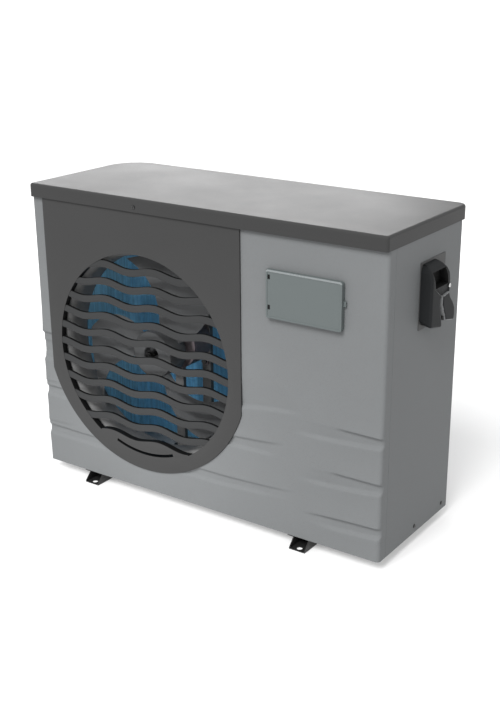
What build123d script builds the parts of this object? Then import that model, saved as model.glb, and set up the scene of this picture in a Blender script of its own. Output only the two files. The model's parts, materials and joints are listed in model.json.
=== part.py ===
from build123d import *
from math import cos, pi, radians, sin, sqrt
import os

os.makedirs("parts", exist_ok=True)

# Pool heat pump, millimetres. The origin is on the floor, at the centre of the four foot-bolt holes.
# +X points to the compressor end, -Y to the front with the fan, +Z up.

# Casing
body_width = 1000.0
body_depth = 357.0
body_height = 715.0
foot_height = 25.0
body_mid_x = 23.0
panel_t = 3.0
sheet_t = 1.5
corner_r = {"front_left": 5.0, "front_right": 9.0, "back_left": 85.0, "back_right": 20.0}
lid_corner_r = {"front_left": 7.0, "front_right": 7.0, "back_left": 87.0, "back_right": 25.0}
corner_signs = {"front_left": (-1, -1), "front_right": (1, -1), "back_left": (-1, 1), "back_right": (1, 1)}
seam_gap = 0.5
fit_gap = 0.05
screw_hole_r = 2.1
bolt_clear_r = 4.2
side_seam_y = -148.0
rear_seam_x = 482.0
guard_end_x = 160.0

left = body_mid_x - body_width / 2
right = body_mid_x + body_width / 2
front = -body_depth / 2
back = body_depth / 2
low = foot_height
top = foot_height + body_height
inner_front = front + panel_t
inner_back = back - panel_t
inner_right = right - panel_t
floor_z = low + sheet_t

# Lid
lid_height = 33.0
lid_front_lip = 8.7
lid_back_lip = 16.0
lid_side_lip = 0.7
lid_t = 3.0
lid_ceiling = top + lid_height - lid_t
screw_z = top + 12.0

# Feet
foot_x = 318.0
foot_width = 43.0
foot_length = 394.0
foot_t = 2.0
bolt_hole_r = 7.0
bolt_hole_y = 184.5

# Grille panel and its wavy slots
fan_x = -144.0
fan_z = 375.5
grille_r = 261.0
fan_panel_half = 297.5
fan_panel_proud = 4.5
fan_panel_arc_r = 313.0
fan_panel_arc_z = 394.0
bar_depth = 16.0
slot_rows = 11
slot_pitch = 44.35
slot_height = 26.8
top_slot_z = 603.0
wave_pitch = 152.5
wave_height = 5.5
wave_crest_x = -252.0

# Fan and motor
axis_y = Axis((fan_x, 0, fan_z), (0, 1, 0))
shroud_r = 251.0
blade_r = 245.0
hub_r = 60.0
hub_front = -145.0
hub_back = -78.0
shaft_r = 6.0
motor_r = 62.0
motor_front = -60.0
motor_back = 20.0

# Evaporator
coil_t = 30.0
coil_rear_y = 147.5
coil_left_x = -446.0
coil_bend_r = 57.0
coil_end_x = 150.0
coil_end_y = -130.0
coil_low = 30.0
coil_top = 732.0
tube_r = 4.75
tube_pitch = 25.4
bend_rows = 13

# Compressor bay
partition_x = 172.0
compressor_x = 275.0
compressor_y = 20.0
compressor_r = 70.0
exchanger_x = 435.0
exchanger_y = 60.0
exchanger_r = 70.0
port_zs = (120.0, 430.0)
water_bore_r = 24.0
tail_r = 28.0
pipe_socket_r = 25.1
pipe_socket_depth = 31.0
gas_pipe_r = 8.0
liquid_pipe_r = 5.0
pipe_wall = 1.0
valve_z = 420.0
tray_z = 600.0

# Controller
door_x = 228.0
door_width = 193.0
door_low = 552.0
door_height = 110.0
door_face = -190.0
door_wall = 2.5
hinge_x = 230.0
hinge_y = -184.5
hinge_zs = (577.1, 645.6)
bezel_t = 3.0
key_names = ("key_power", "key_mode", "key_up", "key_down", "key_set")
key_r = 6.0
key_pitch = 30.0
key_z = 579.0

# Cable cover on the right side
plate_y = (-37.0, 82.0)
plate_z = (532.0, 685.0)
hood_depth = 28.5


def front_plane(y):
    """Vertical plane at depth y that faces the front, with its local axes along X and Z."""
    return Plane.XZ.offset(-y)


def outline(width, depth, centre_y, radii):
    """Plan outline of a box with its own radius at each corner."""
    with BuildSketch() as plan:
        with Locations((body_mid_x, centre_y)):
            Rectangle(width, depth)
        for corner, (sx, sy) in corner_signs.items():
            spot = (body_mid_x + sx * width / 2, centre_y + sy * depth / 2, 0)
            fillet(plan.vertices().sort_by_distance(spot)[0], radii[corner])
    return plan.sketch


def casing_outline(inset):
    """Plan outline of the casing, inset from its outer face."""
    radii = {corner: radius - inset for corner, radius in corner_r.items()}
    return outline(body_width - 2 * inset, body_depth - 2 * inset, 0, radii)


def lid_outline(inset):
    """Plan outline of the lid, inset from its outer face."""
    width = body_width + 2 * lid_side_lip
    depth = body_depth + lid_front_lip + lid_back_lip
    centre_y = (lid_back_lip - lid_front_lip) / 2
    radii = {corner: radius - inset for corner, radius in lid_corner_r.items()}
    return outline(width - 2 * inset, depth - 2 * inset, centre_y, radii)


def wave_z(x, mean):
    """Height of a wavy line at x."""
    return mean + wave_height * cos(2 * pi * (x - wave_crest_x) / wave_pitch)


def wavy_band(x_from, x_to, mean, height):
    """Band of even height between two parallel wavy lines, in a vertical plane."""
    count = int((x_to - x_from) / wave_pitch * 8) + 2
    xs = [x_from + (x_to - x_from) * i / (count - 1) for i in range(count)]
    with BuildSketch() as band:
        with BuildLine():
            lower = Spline([(x, wave_z(x, mean)) for x in xs])
            upper = Spline([(x, wave_z(x, mean) + height) for x in xs])
            Line(lower @ 0, upper @ 0)
            Line(lower @ 1, upper @ 1)
        make_face()
    return band.sketch


def tube(points, bends, outer_r):
    """Copper tube along straight runs joined by arcs."""
    with BuildPart() as pipe:
        with BuildLine() as route:
            FilletPolyline(*points, radius=bends)
        with BuildSketch(Plane(origin=route.line @ 0, z_dir=route.line % 0)):
            Circle(outer_r)
            Circle(outer_r - pipe_wall, mode=Mode.SUBTRACT)
        sweep()
    return pipe.part


def pan_screw(seat, length):
    """Cross-recess screw whose head rests on the seat plane, with its shank behind it."""
    with BuildPart() as screw:
        with BuildSketch(seat):
            Circle(2.0)
        extrude(amount=-length)
        with BuildSketch(seat):
            Circle(4.5)
        extrude(amount=2.4)
        fillet(screw.edges().filter_by(GeomType.CIRCLE).sort_by(SortBy.RADIUS)[-1], 0.9)
        with BuildSketch(seat.offset(2.4)):
            Rectangle(5.0, 1.0)
            Rectangle(1.0, 5.0)
        extrude(amount=-1.4, mode=Mode.SUBTRACT)
    return screw.part


def hex_bolt(x, y, head_z, grip, along=Plane.XY):
    """M8 bolt with its nut: the head sits above head_z and the nut is a grip length below it."""
    with BuildPart() as bolt:
        with BuildSketch(along.offset(head_z)):
            with Locations((x, y)):
                RegularPolygon(6.5, 6, major_radius=False)
        extrude(amount=5.3)
        with BuildSketch(along.offset(head_z)):
            with Locations((x, y)):
                Circle(4.0)
        extrude(amount=-grip - 9.0)
        with BuildSketch(along.offset(head_z - grip)):
            with Locations((x, y)):
                RegularPolygon(6.5, 6, major_radius=False)
        extrude(amount=-6.5)
    return bolt.part


# ---------------------------------------------------------------- Base and feet

flange_bolt_dx = 29.0
foot_bolts = [
    (side * foot_x + dx, y)
    for side in (-1, 1)
    for dx in (-flange_bolt_dx, flange_bolt_dx)
    for y in (-120.0, 60.0)
]
ear_radius = 88.0
compressor_bolts = [
    (compressor_x + ear_radius * cos(radians(a)), compressor_y + ear_radius * sin(radians(a)))
    for a in (90, 210, 330)
]
drain_spot = (-245.0, 80.0)
rim_height = 30.0
rim_screws = {"right": (-8.0, 134.0), "rear": (230.0, 430.0)}
rim_screw_z = low + 18.0

with BuildPart() as base_pan:
    with BuildSketch(Plane.XY.offset(low)):
        add(casing_outline(panel_t))
    extrude(amount=rim_height)
    with BuildSketch(Plane.XY.offset(floor_z)):
        add(casing_outline(panel_t + sheet_t))
    extrude(amount=rim_height, mode=Mode.SUBTRACT)
    with BuildSketch(Plane.XY.offset(low)):
        with Locations(*foot_bolts):
            Circle(bolt_clear_r)
        with Locations(drain_spot):
            Circle(8.2)
    extrude(amount=sheet_t, mode=Mode.SUBTRACT)
    with BuildSketch(Plane.YZ.offset(right)):
        with Locations(*[(y, rim_screw_z) for y in rim_screws["right"]]):
            Circle(screw_hole_r)
    extrude(amount=-10, mode=Mode.SUBTRACT)
    with BuildSketch(front_plane(back)):
        with Locations(*[(x, rim_screw_z) for x in rim_screws["rear"]]):
            Circle(screw_hole_r)
    extrude(amount=10, mode=Mode.SUBTRACT)
base_pan.part.label = "base_pan"
export_step(base_pan.part, "parts/base_pan.step")

web_tip_z = 4.0
web_slope_run = 21.0
for side, foot_name in ((-1, "foot_left"), (1, "foot_right")):
    with BuildPart() as foot:
        with BuildSketch(front_plane(-foot_length / 2)):
            with Locations((side * foot_x, foot_height / 2)):
                Rectangle(foot_width, foot_height)
            with Locations((side * foot_x, foot_height / 2 + foot_t)):
                Rectangle(foot_width - 2 * foot_t, foot_height, mode=Mode.SUBTRACT)
            for dx in (-flange_bolt_dx, flange_bolt_dx):
                with Locations((side * foot_x + dx, foot_height - foot_t / 2)):
                    Rectangle(18.0, foot_t)
        extrude(amount=-foot_length)
        for end in (-1, 1):
            tip = end * foot_length / 2
            with BuildSketch(Plane.YZ.offset(side * foot_x)):
                with BuildLine():
                    Polyline(
                        (tip, web_tip_z),
                        (tip + end, web_tip_z),
                        (tip + end, foot_height + 1.0),
                        (tip - end * web_slope_run, foot_height + 1.0),
                        close=True,
                    )
                make_face()
            extrude(amount=50, both=True, mode=Mode.SUBTRACT)
        with BuildSketch():
            with Locations((side * foot_x, -bolt_hole_y), (side * foot_x, bolt_hole_y)):
                Circle(bolt_hole_r)
        extrude(amount=foot_t, mode=Mode.SUBTRACT)
        with BuildSketch(Plane.XY.offset(foot_height - foot_t)):
            with Locations(*[spot for spot in foot_bolts if spot[0] * side > 0]):
                Circle(bolt_clear_r)
        extrude(amount=foot_t, mode=Mode.SUBTRACT)
    foot.part.label = foot_name
    export_step(foot.part, f"parts/{foot_name}.step")

rail_spread = 45.0
motor_bolt_spots = [(fan_x + sx * rail_spread, fan_z + sz * 54.0) for sx in (-1, 1) for sz in (-1, 1)]
motor_ear_t = 6.0
rail_t = 2.5
grommet_top = 58.0

with BuildPart() as hex_bolts:
    for x, y in foot_bolts:
        add(hex_bolt(x, y, floor_z, sheet_t + foot_t))
    for x, z in motor_bolt_spots:
        add(hex_bolt(x, z, motor_ear_t - motor_back, motor_ear_t + rail_t, along=Plane.XZ))
    with BuildSketch(Plane.XY.offset(floor_z)):
        with Locations(*compressor_bolts):
            Circle(4.0)
    extrude(amount=grommet_top + 10.0 - floor_z)
    with BuildSketch(Plane.XY.offset(grommet_top)):
        with Locations(*compressor_bolts):
            RegularPolygon(6.5, 6, major_radius=False)
    extrude(amount=6.5)
hex_bolts.part.label = "hex_bolts"
export_step(hex_bolts.part, "parts/hex_bolts.step")

with BuildPart() as drain_nipple:
    with BuildSketch(Plane.XY.offset(floor_z)):
        with Locations(drain_spot):
            Circle(14.0)
    extrude(amount=2.0)
    with BuildSketch(Plane.XY.offset(floor_z)):
        with Locations(drain_spot):
            Circle(8.0)
    extrude(amount=-19.5)
    with BuildSketch(Plane.XY.offset(low)):
        with Locations(drain_spot):
            Circle(13.0)
    extrude(amount=-2.5)
    with BuildSketch(Plane.XY.offset(floor_z + 2.0)):
        with Locations(drain_spot):
            Circle(6.0)
    extrude(amount=-21.5, mode=Mode.SUBTRACT)
drain_nipple.part.label = "drain_nipple"
export_step(drain_nipple.part, "parts/drain_nipple.step")

# ---------------------------------------------------------------- Outer panels

controller_x = door_x + door_width / 2
controller_z = door_low + door_height / 2
body_opening = (172.0, 92.0)
tab_width = 80.0
fan_screw_spots = [(fan_x + 284.0 * sx, z) for sx in (-1, 1) for z in (420.0, 560.0, 700.0)]
guard_screw_zs = (200.0, 600.0)
guard_screw_y = -158.0
groove_depth = 1.2
groove_bands = ((310.0, 290.0, 330.0), (325.0, 180.0, 221.0), (330.0, 68.0, 110.0))

with BuildPart() as front_panel:
    with BuildSketch(Plane.XY.offset(low)):
        add(casing_outline(0))
        add(casing_outline(panel_t), mode=Mode.SUBTRACT)
        with Locations((body_mid_x, side_seam_y)):
            Rectangle(body_width + 2, body_depth, align=(Align.CENTER, Align.MIN), mode=Mode.SUBTRACT)
    extrude(amount=body_height)
    with BuildSketch(front_plane(front)):
        with Locations((fan_x, top)):
            Rectangle(tab_width, lid_ceiling - top, align=(Align.CENTER, Align.MIN))
    extrude(amount=-panel_t)
    with BuildSketch(front_plane(front)):
        with Locations((fan_x, fan_z)):
            Circle(grille_r + 4.0)
        with Locations((controller_x, controller_z)):
            Rectangle(*body_opening)
        with Locations((fan_x, screw_z), *fan_screw_spots):
            Circle(screw_hole_r)
    extrude(amount=-panel_t, mode=Mode.SUBTRACT)
    for x_from, z_from, z_to in groove_bands:
        with BuildSketch(front_plane(front)):
            with Locations((x_from, z_from)):
                Rectangle(right + 5.0 - x_from, z_to - z_from, align=(Align.MIN, Align.MIN))
        extrude(amount=-groove_depth, mode=Mode.SUBTRACT)
    with BuildSketch(Plane.YZ.offset(left)):
        with Locations(*[(guard_screw_y, z) for z in guard_screw_zs]):
            Circle(screw_hole_r)
    extrude(amount=panel_t, mode=Mode.SUBTRACT)
front_panel.part.label = "front_panel"
export_step(front_panel.part, "parts/front_panel.step")

grille_face = front_plane(front - fan_panel_proud)
with BuildPart() as fan_panel:
    with BuildSketch(grille_face):
        with BuildLine():
            drop = sqrt(fan_panel_arc_r**2 - fan_panel_half**2)
            foot_left_end = (fan_x - fan_panel_half, fan_panel_arc_z - drop)
            foot_right_end = (fan_x + fan_panel_half, fan_panel_arc_z - drop)
            ThreePointArc(foot_left_end, (fan_x, fan_panel_arc_z - fan_panel_arc_r), foot_right_end)
            Polyline(
                foot_left_end,
                (fan_x - fan_panel_half, top - seam_gap),
                (fan_x + fan_panel_half, top - seam_gap),
                foot_right_end,
            )
        make_face()
    extrude(amount=-fan_panel_proud)
    fillet(fan_panel.faces().sort_by(Axis.Y)[0].edges(), 2.0)
    with BuildSketch(grille_face.offset(-1.0)):
        with Locations((fan_x, fan_z)):
            Circle(grille_r + 3.0)
    extrude(amount=1.0 - bar_depth)
    for row in range(slot_rows):
        mean = top_slot_z - row * slot_pitch
        height = slot_height if row else 2 * slot_height
        with BuildSketch(grille_face):
            add(wavy_band(fan_x - grille_r - 5, fan_x + grille_r + 5, mean, height))
            with Locations((fan_x, fan_z)):
                Circle(grille_r, mode=Mode.INTERSECT)
        extrude(amount=-bar_depth, mode=Mode.SUBTRACT)
    with BuildSketch(grille_face):
        with BuildLine():
            outer = CenterArc((fan_x, fan_z), 253.0, 249.0, 42.0)
            inner = CenterArc((fan_x, fan_z), 246.0, 249.0, 42.0)
            Line(outer @ 0, inner @ 0)
            Line(outer @ 1, inner @ 1)
        make_face()
    extrude(amount=-bar_depth, mode=Mode.SUBTRACT)
    with BuildSketch(front_plane(front)):
        with Locations(*fan_screw_spots):
            Circle(screw_hole_r)
    extrude(amount=3.2, mode=Mode.SUBTRACT)
fan_panel.part.label = "fan_panel"
export_step(fan_panel.part, "parts/fan_panel.step")

wire_hole = (52.0, 50.0)
wire_hole_spot = (16.0, 634.0)
hood_screw_spot = (47.0, 621.0)

with BuildPart() as right_panel:
    with BuildSketch(Plane.XY.offset(low)):
        add(casing_outline(0))
        add(casing_outline(panel_t), mode=Mode.SUBTRACT)
        with Locations((body_mid_x, side_seam_y + seam_gap)):
            Rectangle(body_width + 2, body_depth, align=(Align.CENTER, Align.MAX), mode=Mode.SUBTRACT)
        with Locations((rear_seam_x + seam_gap, 0)):
            Rectangle(body_width, body_depth + 2, align=(Align.MAX, Align.CENTER), mode=Mode.SUBTRACT)
    extrude(amount=body_height)
    with BuildSketch(Plane.YZ.offset(right)):
        with Locations(wire_hole_spot):
            Rectangle(*wire_hole)
        with Locations(*[(y, rim_screw_z) for y in rim_screws["right"]]):
            Circle(screw_hole_r)
        with Locations(hood_screw_spot):
            Circle(screw_hole_r)
    extrude(amount=-panel_t, mode=Mode.SUBTRACT)
right_panel.part.label = "right_panel"
export_step(right_panel.part, "parts/right_panel.step")

rear_tab_x = 330.0
with BuildPart() as rear_panel:
    with BuildSketch(front_plane(inner_back)):
        with Locations(((guard_end_x + rear_seam_x) / 2, low + body_height / 2)):
            Rectangle(rear_seam_x - guard_end_x, body_height)
        with Locations((rear_tab_x, top)):
            Rectangle(tab_width, lid_ceiling - top, align=(Align.CENTER, Align.MIN))
        with Locations(*[(exchanger_x, z) for z in port_zs]):
            Circle(tail_r + 2.0, mode=Mode.SUBTRACT)
        with Locations((rear_tab_x, screw_z), *[(x, rim_screw_z) for x in rim_screws["rear"]]):
            Circle(screw_hole_r, mode=Mode.SUBTRACT)
    extrude(amount=-panel_t)
    for row in range(8):
        with BuildSketch(front_plane(inner_back)):
            with Locations((260.0, 560.0 + 16.0 * row)):
                SlotOverall(120.0, 6.0)
        extrude(amount=-panel_t, mode=Mode.SUBTRACT)
rear_panel.part.label = "rear_panel"
export_step(rear_panel.part, "parts/rear_panel.step")

# ---------------------------------------------------------------- Coil guards

wire_r = 1.5
guard_low = low + rim_height + 2.0
guard_top = top - 2.0
guard_inset = 3.6
guard_rows = 12
guard_start_x = guard_end_x - 1.0
guard_split_x = left + corner_r["back_left"] + 6.0
guard_strip = (14.0, 2.4)
guard_pitch = 38.0
guard_wire_y = back - guard_inset
guard_wire_x = left + guard_inset
row_rise = (guard_top - guard_low - 2 * wire_r) / (guard_rows - 1)
row_zs = [guard_low + wire_r + row_rise * row for row in range(guard_rows)]

with BuildPart() as rear_guard:
    with BuildSketch(Plane.YZ.offset(guard_split_x)):
        with Locations(*[(guard_wire_y, z) for z in row_zs]):
            Circle(wire_r)
    extrude(amount=guard_start_x - guard_split_x)
    with BuildSketch(Plane.XY.offset(guard_low)):
        with Locations(*[(guard_end_x - 24.0 - guard_pitch * i, guard_wire_y - 2.2) for i in range(14)]):
            Circle(wire_r)
        with Locations((guard_end_x - 8.0, guard_wire_y)):
            Rectangle(*guard_strip)
        with Locations((guard_split_x + guard_strip[0] / 2, guard_wire_y)):
            Rectangle(*guard_strip)
    extrude(amount=guard_top - guard_low)
rear_guard.part.label = "rear_guard"
export_step(rear_guard.part, "parts/rear_guard.step")

with BuildPart() as side_guard:
    with BuildLine() as guard_line:
        FilletPolyline(
            (guard_split_x, guard_wire_y),
            (guard_wire_x, guard_wire_y),
            (guard_wire_x, side_seam_y + 1.0),
            radius=corner_r["back_left"] - guard_inset,
        )
    for z in row_zs:
        with BuildSketch(Plane(origin=(guard_split_x, guard_wire_y, z), z_dir=(-1, 0, 0))):
            Circle(wire_r)
        sweep(path=guard_line.line.moved(Location((0, 0, z))))
    with BuildSketch(Plane.XY.offset(guard_low)):
        with Locations(*[(guard_wire_x + 2.2, side_seam_y + 24.0 + guard_pitch * i) for i in range(6)]):
            Circle(wire_r)
        with Locations((guard_wire_x, side_seam_y + 8.0)):
            Rectangle(guard_strip[1], guard_strip[0])
    extrude(amount=guard_top - guard_low)
    with BuildSketch(Plane.YZ.offset(left + panel_t)):
        with Locations((guard_screw_y + 5.0, (guard_low + guard_top) / 2)):
            Rectangle(24.0, guard_top - guard_low)
        with Locations(*[(guard_screw_y, z) for z in guard_screw_zs]):
            Circle(screw_hole_r, mode=Mode.SUBTRACT)
    extrude(amount=1.6)
side_guard.part.label = "side_guard"
export_step(side_guard.part, "parts/side_guard.step")

# ---------------------------------------------------------------- Lid

with BuildPart() as lid:
    with BuildSketch(Plane.XY.offset(top)):
        add(lid_outline(0))
    extrude(amount=lid_height)
    fillet(lid.faces().sort_by(Axis.Z)[-1].edges(), 6.0)
    with BuildSketch(Plane.XY.offset(top)):
        add(lid_outline(lid_t))
    extrude(amount=lid_height - lid_t, mode=Mode.SUBTRACT)
    with BuildSketch(front_plane(0)):
        with Locations((fan_x, screw_z)):
            Circle(screw_hole_r)
    extrude(amount=body_depth, mode=Mode.SUBTRACT)
    with BuildSketch(front_plane(0)):
        with Locations((rear_tab_x, screw_z)):
            Circle(screw_hole_r)
    extrude(amount=-body_depth, mode=Mode.SUBTRACT)
lid.part.label = "lid"
export_step(lid.part, "parts/lid.step")

lid_front = front - lid_front_lip
lid_back = back + lid_back_lip
with BuildPart() as casing_screws:
    add(pan_screw(Plane(origin=(fan_x, lid_front, screw_z), z_dir=(0, -1, 0)), 15.0))
    add(pan_screw(Plane(origin=(rear_tab_x, lid_back, screw_z), z_dir=(0, 1, 0)), 22.0))
    for y in rim_screws["right"]:
        add(pan_screw(Plane(origin=(right, y, rim_screw_z), z_dir=(1, 0, 0)), 8.0))
    for x in rim_screws["rear"]:
        add(pan_screw(Plane(origin=(x, back, rim_screw_z), z_dir=(0, 1, 0)), 8.0))
    for z in guard_screw_zs:
        add(pan_screw(Plane(origin=(left, guard_screw_y, z), z_dir=(-1, 0, 0)), 8.0))
    for x, z in fan_screw_spots:
        add(pan_screw(Plane(origin=(x, inner_front, z), z_dir=(0, 1, 0)), 6.0))
casing_screws.part.label = "casing_screws"
export_step(casing_screws.part, "parts/casing_screws.step")

# ---------------------------------------------------------------- Fan and motor

with BuildPart() as fan_shroud:
    with BuildSketch(Plane.XY.offset(fan_z)):
        with BuildLine():
            Polyline(
                (fan_x + 268.0, inner_front),
                (fan_x + 294.0, inner_front),
                (fan_x + 294.0, inner_front + 2.5),
                (fan_x + 270.5, inner_front + 2.5),
                (fan_x + 270.5, -164.0),
                (fan_x + 257.0, -152.0),
                (fan_x + shroud_r + 2.5, -142.0),
                (fan_x + shroud_r + 2.5, -95.0),
                (fan_x + shroud_r, -95.0),
                (fan_x + shroud_r, -143.0),
                (fan_x + 255.0, -153.5),
                (fan_x + 268.0, -165.0),
                close=True,
            )
        make_face()
    revolve(axis=axis_y)
    with BuildSketch(front_plane(inner_front)):
        with Locations(*fan_screw_spots):
            Circle(6.0)
    extrude(amount=-4.0, mode=Mode.SUBTRACT)
fan_shroud.part.label = "fan_shroud"
export_step(fan_shroud.part, "parts/fan_shroud.step")

blade_mid_y = (hub_front + hub_back) / 2
blade_t = 3.0
blade_turns = (38.0, 158.0, 278.0)
blade_sections = (
    (48.0, 70.0, 42.0, 0.0),
    (120.0, 130.0, 31.0, -10.0),
    (190.0, 180.0, 24.0, -42.0),
    (262.0, 205.0, 19.0, -100.0),
)
with BuildPart() as blade:
    for radius, chord, pitch, lean in blade_sections:
        with BuildSketch(Plane.XY.offset(fan_z + radius)):
            with Locations((fan_x + lean, blade_mid_y)):
                Rectangle(chord, blade_t, rotation=pitch)
    loft()
    with BuildSketch(front_plane(-220.0)):
        with Locations((fan_x, fan_z)):
            Circle(blade_r)
    extrude(amount=-200.0, mode=Mode.INTERSECT)

with BuildPart() as fan_impeller:
    with BuildSketch(front_plane(hub_front)):
        with Locations((fan_x, fan_z)):
            Circle(hub_r)
    extrude(amount=hub_front - hub_back)
    for turn in blade_turns:
        add(blade.part.rotate(axis_y, turn))
    with BuildSketch(front_plane(hub_front + 5.0)):
        with Locations((fan_x, fan_z)):
            Circle(hub_r - 5.0)
            Circle(16.0, mode=Mode.SUBTRACT)
    extrude(amount=-120.0, mode=Mode.SUBTRACT)
    with BuildSketch(front_plane(hub_front - 40.0)):
        with Locations((fan_x, fan_z)):
            Circle(shaft_r + fit_gap)
    extrude(amount=-160.0, mode=Mode.SUBTRACT)
    with BuildSketch(front_plane(hub_front - 40.0)):
        with Locations((fan_x, fan_z)):
            Circle(hub_r - 5.0)
    extrude(amount=-40.0, mode=Mode.SUBTRACT)
fan_impeller.part.label = "fan_impeller"
export_step(fan_impeller.part, "parts/fan_impeller.step")

with BuildPart() as fan_shaft:
    with BuildSketch(front_plane(-159.0)):
        with Locations((fan_x, fan_z)):
            Circle(shaft_r)
    extrude(amount=-172.0)
    chamfer(fan_shaft.faces().sort_by(Axis.Y)[0].edges(), 1.0)
fan_shaft.part.label = "fan_shaft"
export_step(fan_shaft.part, "parts/fan_shaft.step")

with BuildPart() as fan_nut:
    with BuildSketch(front_plane(hub_front)):
        with Locations((fan_x, fan_z)):
            Circle(13.0)
            Circle(shaft_r + fit_gap, mode=Mode.SUBTRACT)
    extrude(amount=1.5)
    with BuildSketch(front_plane(hub_front - 1.5)):
        with Locations((fan_x, fan_z)):
            RegularPolygon(9.5, 6, major_radius=False)
            Circle(shaft_r + fit_gap, mode=Mode.SUBTRACT)
    extrude(amount=9.0)
fan_nut.part.label = "fan_nut"
export_step(fan_nut.part, "parts/fan_nut.step")

with BuildPart() as motor_housing:
    with BuildSketch(Plane.XY.offset(fan_z)):
        with BuildLine():
            Polyline(
                (fan_x + 8.0, motor_front),
                (fan_x + 40.0, motor_front),
                (fan_x + motor_r, motor_front + 12.0),
                (fan_x + motor_r, motor_back),
                (fan_x, motor_back),
                (fan_x, motor_back - 6.0),
                (fan_x + 14.05, motor_back - 6.0),
                (fan_x + 14.05, motor_back - 14.0),
                (fan_x + 18.0, motor_back - 14.0),
                (fan_x + 18.0, motor_back - 6.0),
                (fan_x + 58.0, motor_back - 6.0),
                (fan_x + 58.0, motor_front + 16.0),
                (fan_x + 38.0, motor_front + 6.0),
                (fan_x + 18.0, motor_front + 6.0),
                (fan_x + 18.0, motor_front + 14.0),
                (fan_x + 14.05, motor_front + 14.0),
                (fan_x + 14.05, motor_front + 6.0),
                (fan_x + 8.0, motor_front + 6.0),
                close=True,
            )
        make_face()
    revolve(axis=axis_y)
    with BuildSketch(front_plane(motor_back - motor_ear_t)):
        with Locations(*motor_bolt_spots):
            Circle(10.0)
        with Locations(*motor_bolt_spots):
            Circle(bolt_clear_r, mode=Mode.SUBTRACT)
        with Locations((fan_x, fan_z)):
            Circle(motor_r - 2.0, mode=Mode.SUBTRACT)
    extrude(amount=-motor_ear_t)
motor_housing.part.label = "motor_housing"
export_step(motor_housing.part, "parts/motor_housing.step")

with BuildPart() as motor_bearings:
    for y in (motor_front + 14.0, motor_back - 6.0):
        with BuildSketch(front_plane(y)):
            with Locations((fan_x, fan_z)):
                Circle(14.0)
                Circle(shaft_r + 0.3, mode=Mode.SUBTRACT)
        extrude(amount=7.8)
motor_bearings.part.label = "motor_bearings"
export_step(motor_bearings.part, "parts/motor_bearings.step")

with BuildPart() as motor_stator:
    with BuildSketch(front_plane(0)):
        with Locations((fan_x, fan_z)):
            Circle(57.9)
            Circle(33.5, mode=Mode.SUBTRACT)
    extrude(amount=38.0)
motor_stator.part.label = "motor_stator"
export_step(motor_stator.part, "parts/motor_stator.step")

with BuildPart() as motor_rotor:
    with BuildSketch(front_plane(0)):
        with Locations((fan_x, fan_z)):
            Circle(32.5)
            Circle(shaft_r + fit_gap, mode=Mode.SUBTRACT)
    extrude(amount=38.0)
motor_rotor.part.label = "motor_rotor"
export_step(motor_rotor.part, "parts/motor_rotor.step")

rail_width = 26.0
rail_depth = 12.0
rail_top = 736.0
with BuildPart() as motor_bracket:
    for sx in (-1, 1):
        rail_x = fan_x + sx * rail_spread
        with BuildSketch(Plane.XY.offset(floor_z)):
            with Locations((rail_x, motor_back + rail_depth / 2)):
                Rectangle(rail_width, rail_depth)
            with Locations((rail_x, motor_back + rail_t + rail_depth / 2)):
                Rectangle(rail_width - 2 * rail_t, rail_depth, mode=Mode.SUBTRACT)
        extrude(amount=rail_top - floor_z)
    with BuildSketch(Plane.XY.offset(rail_top)):
        with Locations((fan_x, inner_front)):
            Rectangle(130.0, motor_back + rail_depth - inner_front, align=(Align.CENTER, Align.MIN))
    extrude(amount=rail_t)
    with BuildSketch(Plane.XY.offset(floor_z)):
        with Locations((fan_x, motor_back)):
            Rectangle(130.0, 40.0, align=(Align.CENTER, Align.MIN))
    extrude(amount=rail_t)
    with BuildSketch(front_plane(motor_back)):
        with Locations(*motor_bolt_spots):
            Circle(bolt_clear_r)
    extrude(amount=-rail_t, mode=Mode.SUBTRACT)
motor_bracket.part.label = "motor_bracket"
export_step(motor_bracket.part, "parts/motor_bracket.step")

# ---------------------------------------------------------------- Evaporator

with BuildPart() as evaporator_fins:
    with BuildSketch(Plane.XY.offset(coil_low)):
        with BuildLine():
            FilletPolyline(
                (coil_end_x, coil_rear_y),
                (coil_left_x, coil_rear_y),
                (coil_left_x, coil_end_y),
                radius=coil_bend_r,
            )
        trace(line_width=coil_t)
    extrude(amount=coil_top - coil_low)
evaporator_fins.part.label = "evaporator_fins"
export_step(evaporator_fins.part, "parts/evaporator_fins.step")

with BuildPart() as coil_end_plates:
    with BuildSketch(Plane.XY.offset(floor_z)):
        with Locations((coil_end_x + sheet_t / 2, coil_rear_y + 2.0)):
            Rectangle(sheet_t, 46.0)
        with Locations((coil_left_x, coil_end_y - sheet_t / 2)):
            Rectangle(44.0, sheet_t)
    extrude(amount=rail_top - floor_z)
coil_end_plates.part.label = "coil_end_plates"
export_step(coil_end_plates.part, "parts/coil_end_plates.step")

bend_zs = [55.0 + 2 * tube_pitch * k for k in range(bend_rows)]
plate_x = coil_end_x + sheet_t
plate_front_y = coil_end_y - sheet_t
bend_y = 155.0
with BuildPart() as return_bends:
    for z in bend_zs:
        with BuildSketch(Plane.YZ.offset(plate_x)):
            with Locations((bend_y, z)):
                Circle(tube_r)
        revolve(axis=Axis((plate_x, bend_y, z + tube_pitch / 2), (0, -1, 0)), revolution_arc=180)
        for x in (coil_left_x - 7.5, coil_left_x + 7.5):
            with BuildSketch(front_plane(plate_front_y)):
                with Locations((x, z)):
                    Circle(tube_r)
            revolve(axis=Axis((x, plate_front_y, z + tube_pitch / 2), (-1, 0, 0)), revolution_arc=180)
return_bends.part.label = "return_bends"
export_step(return_bends.part, "parts/return_bends.step")

# ---------------------------------------------------------------- Refrigerant circuit

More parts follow.
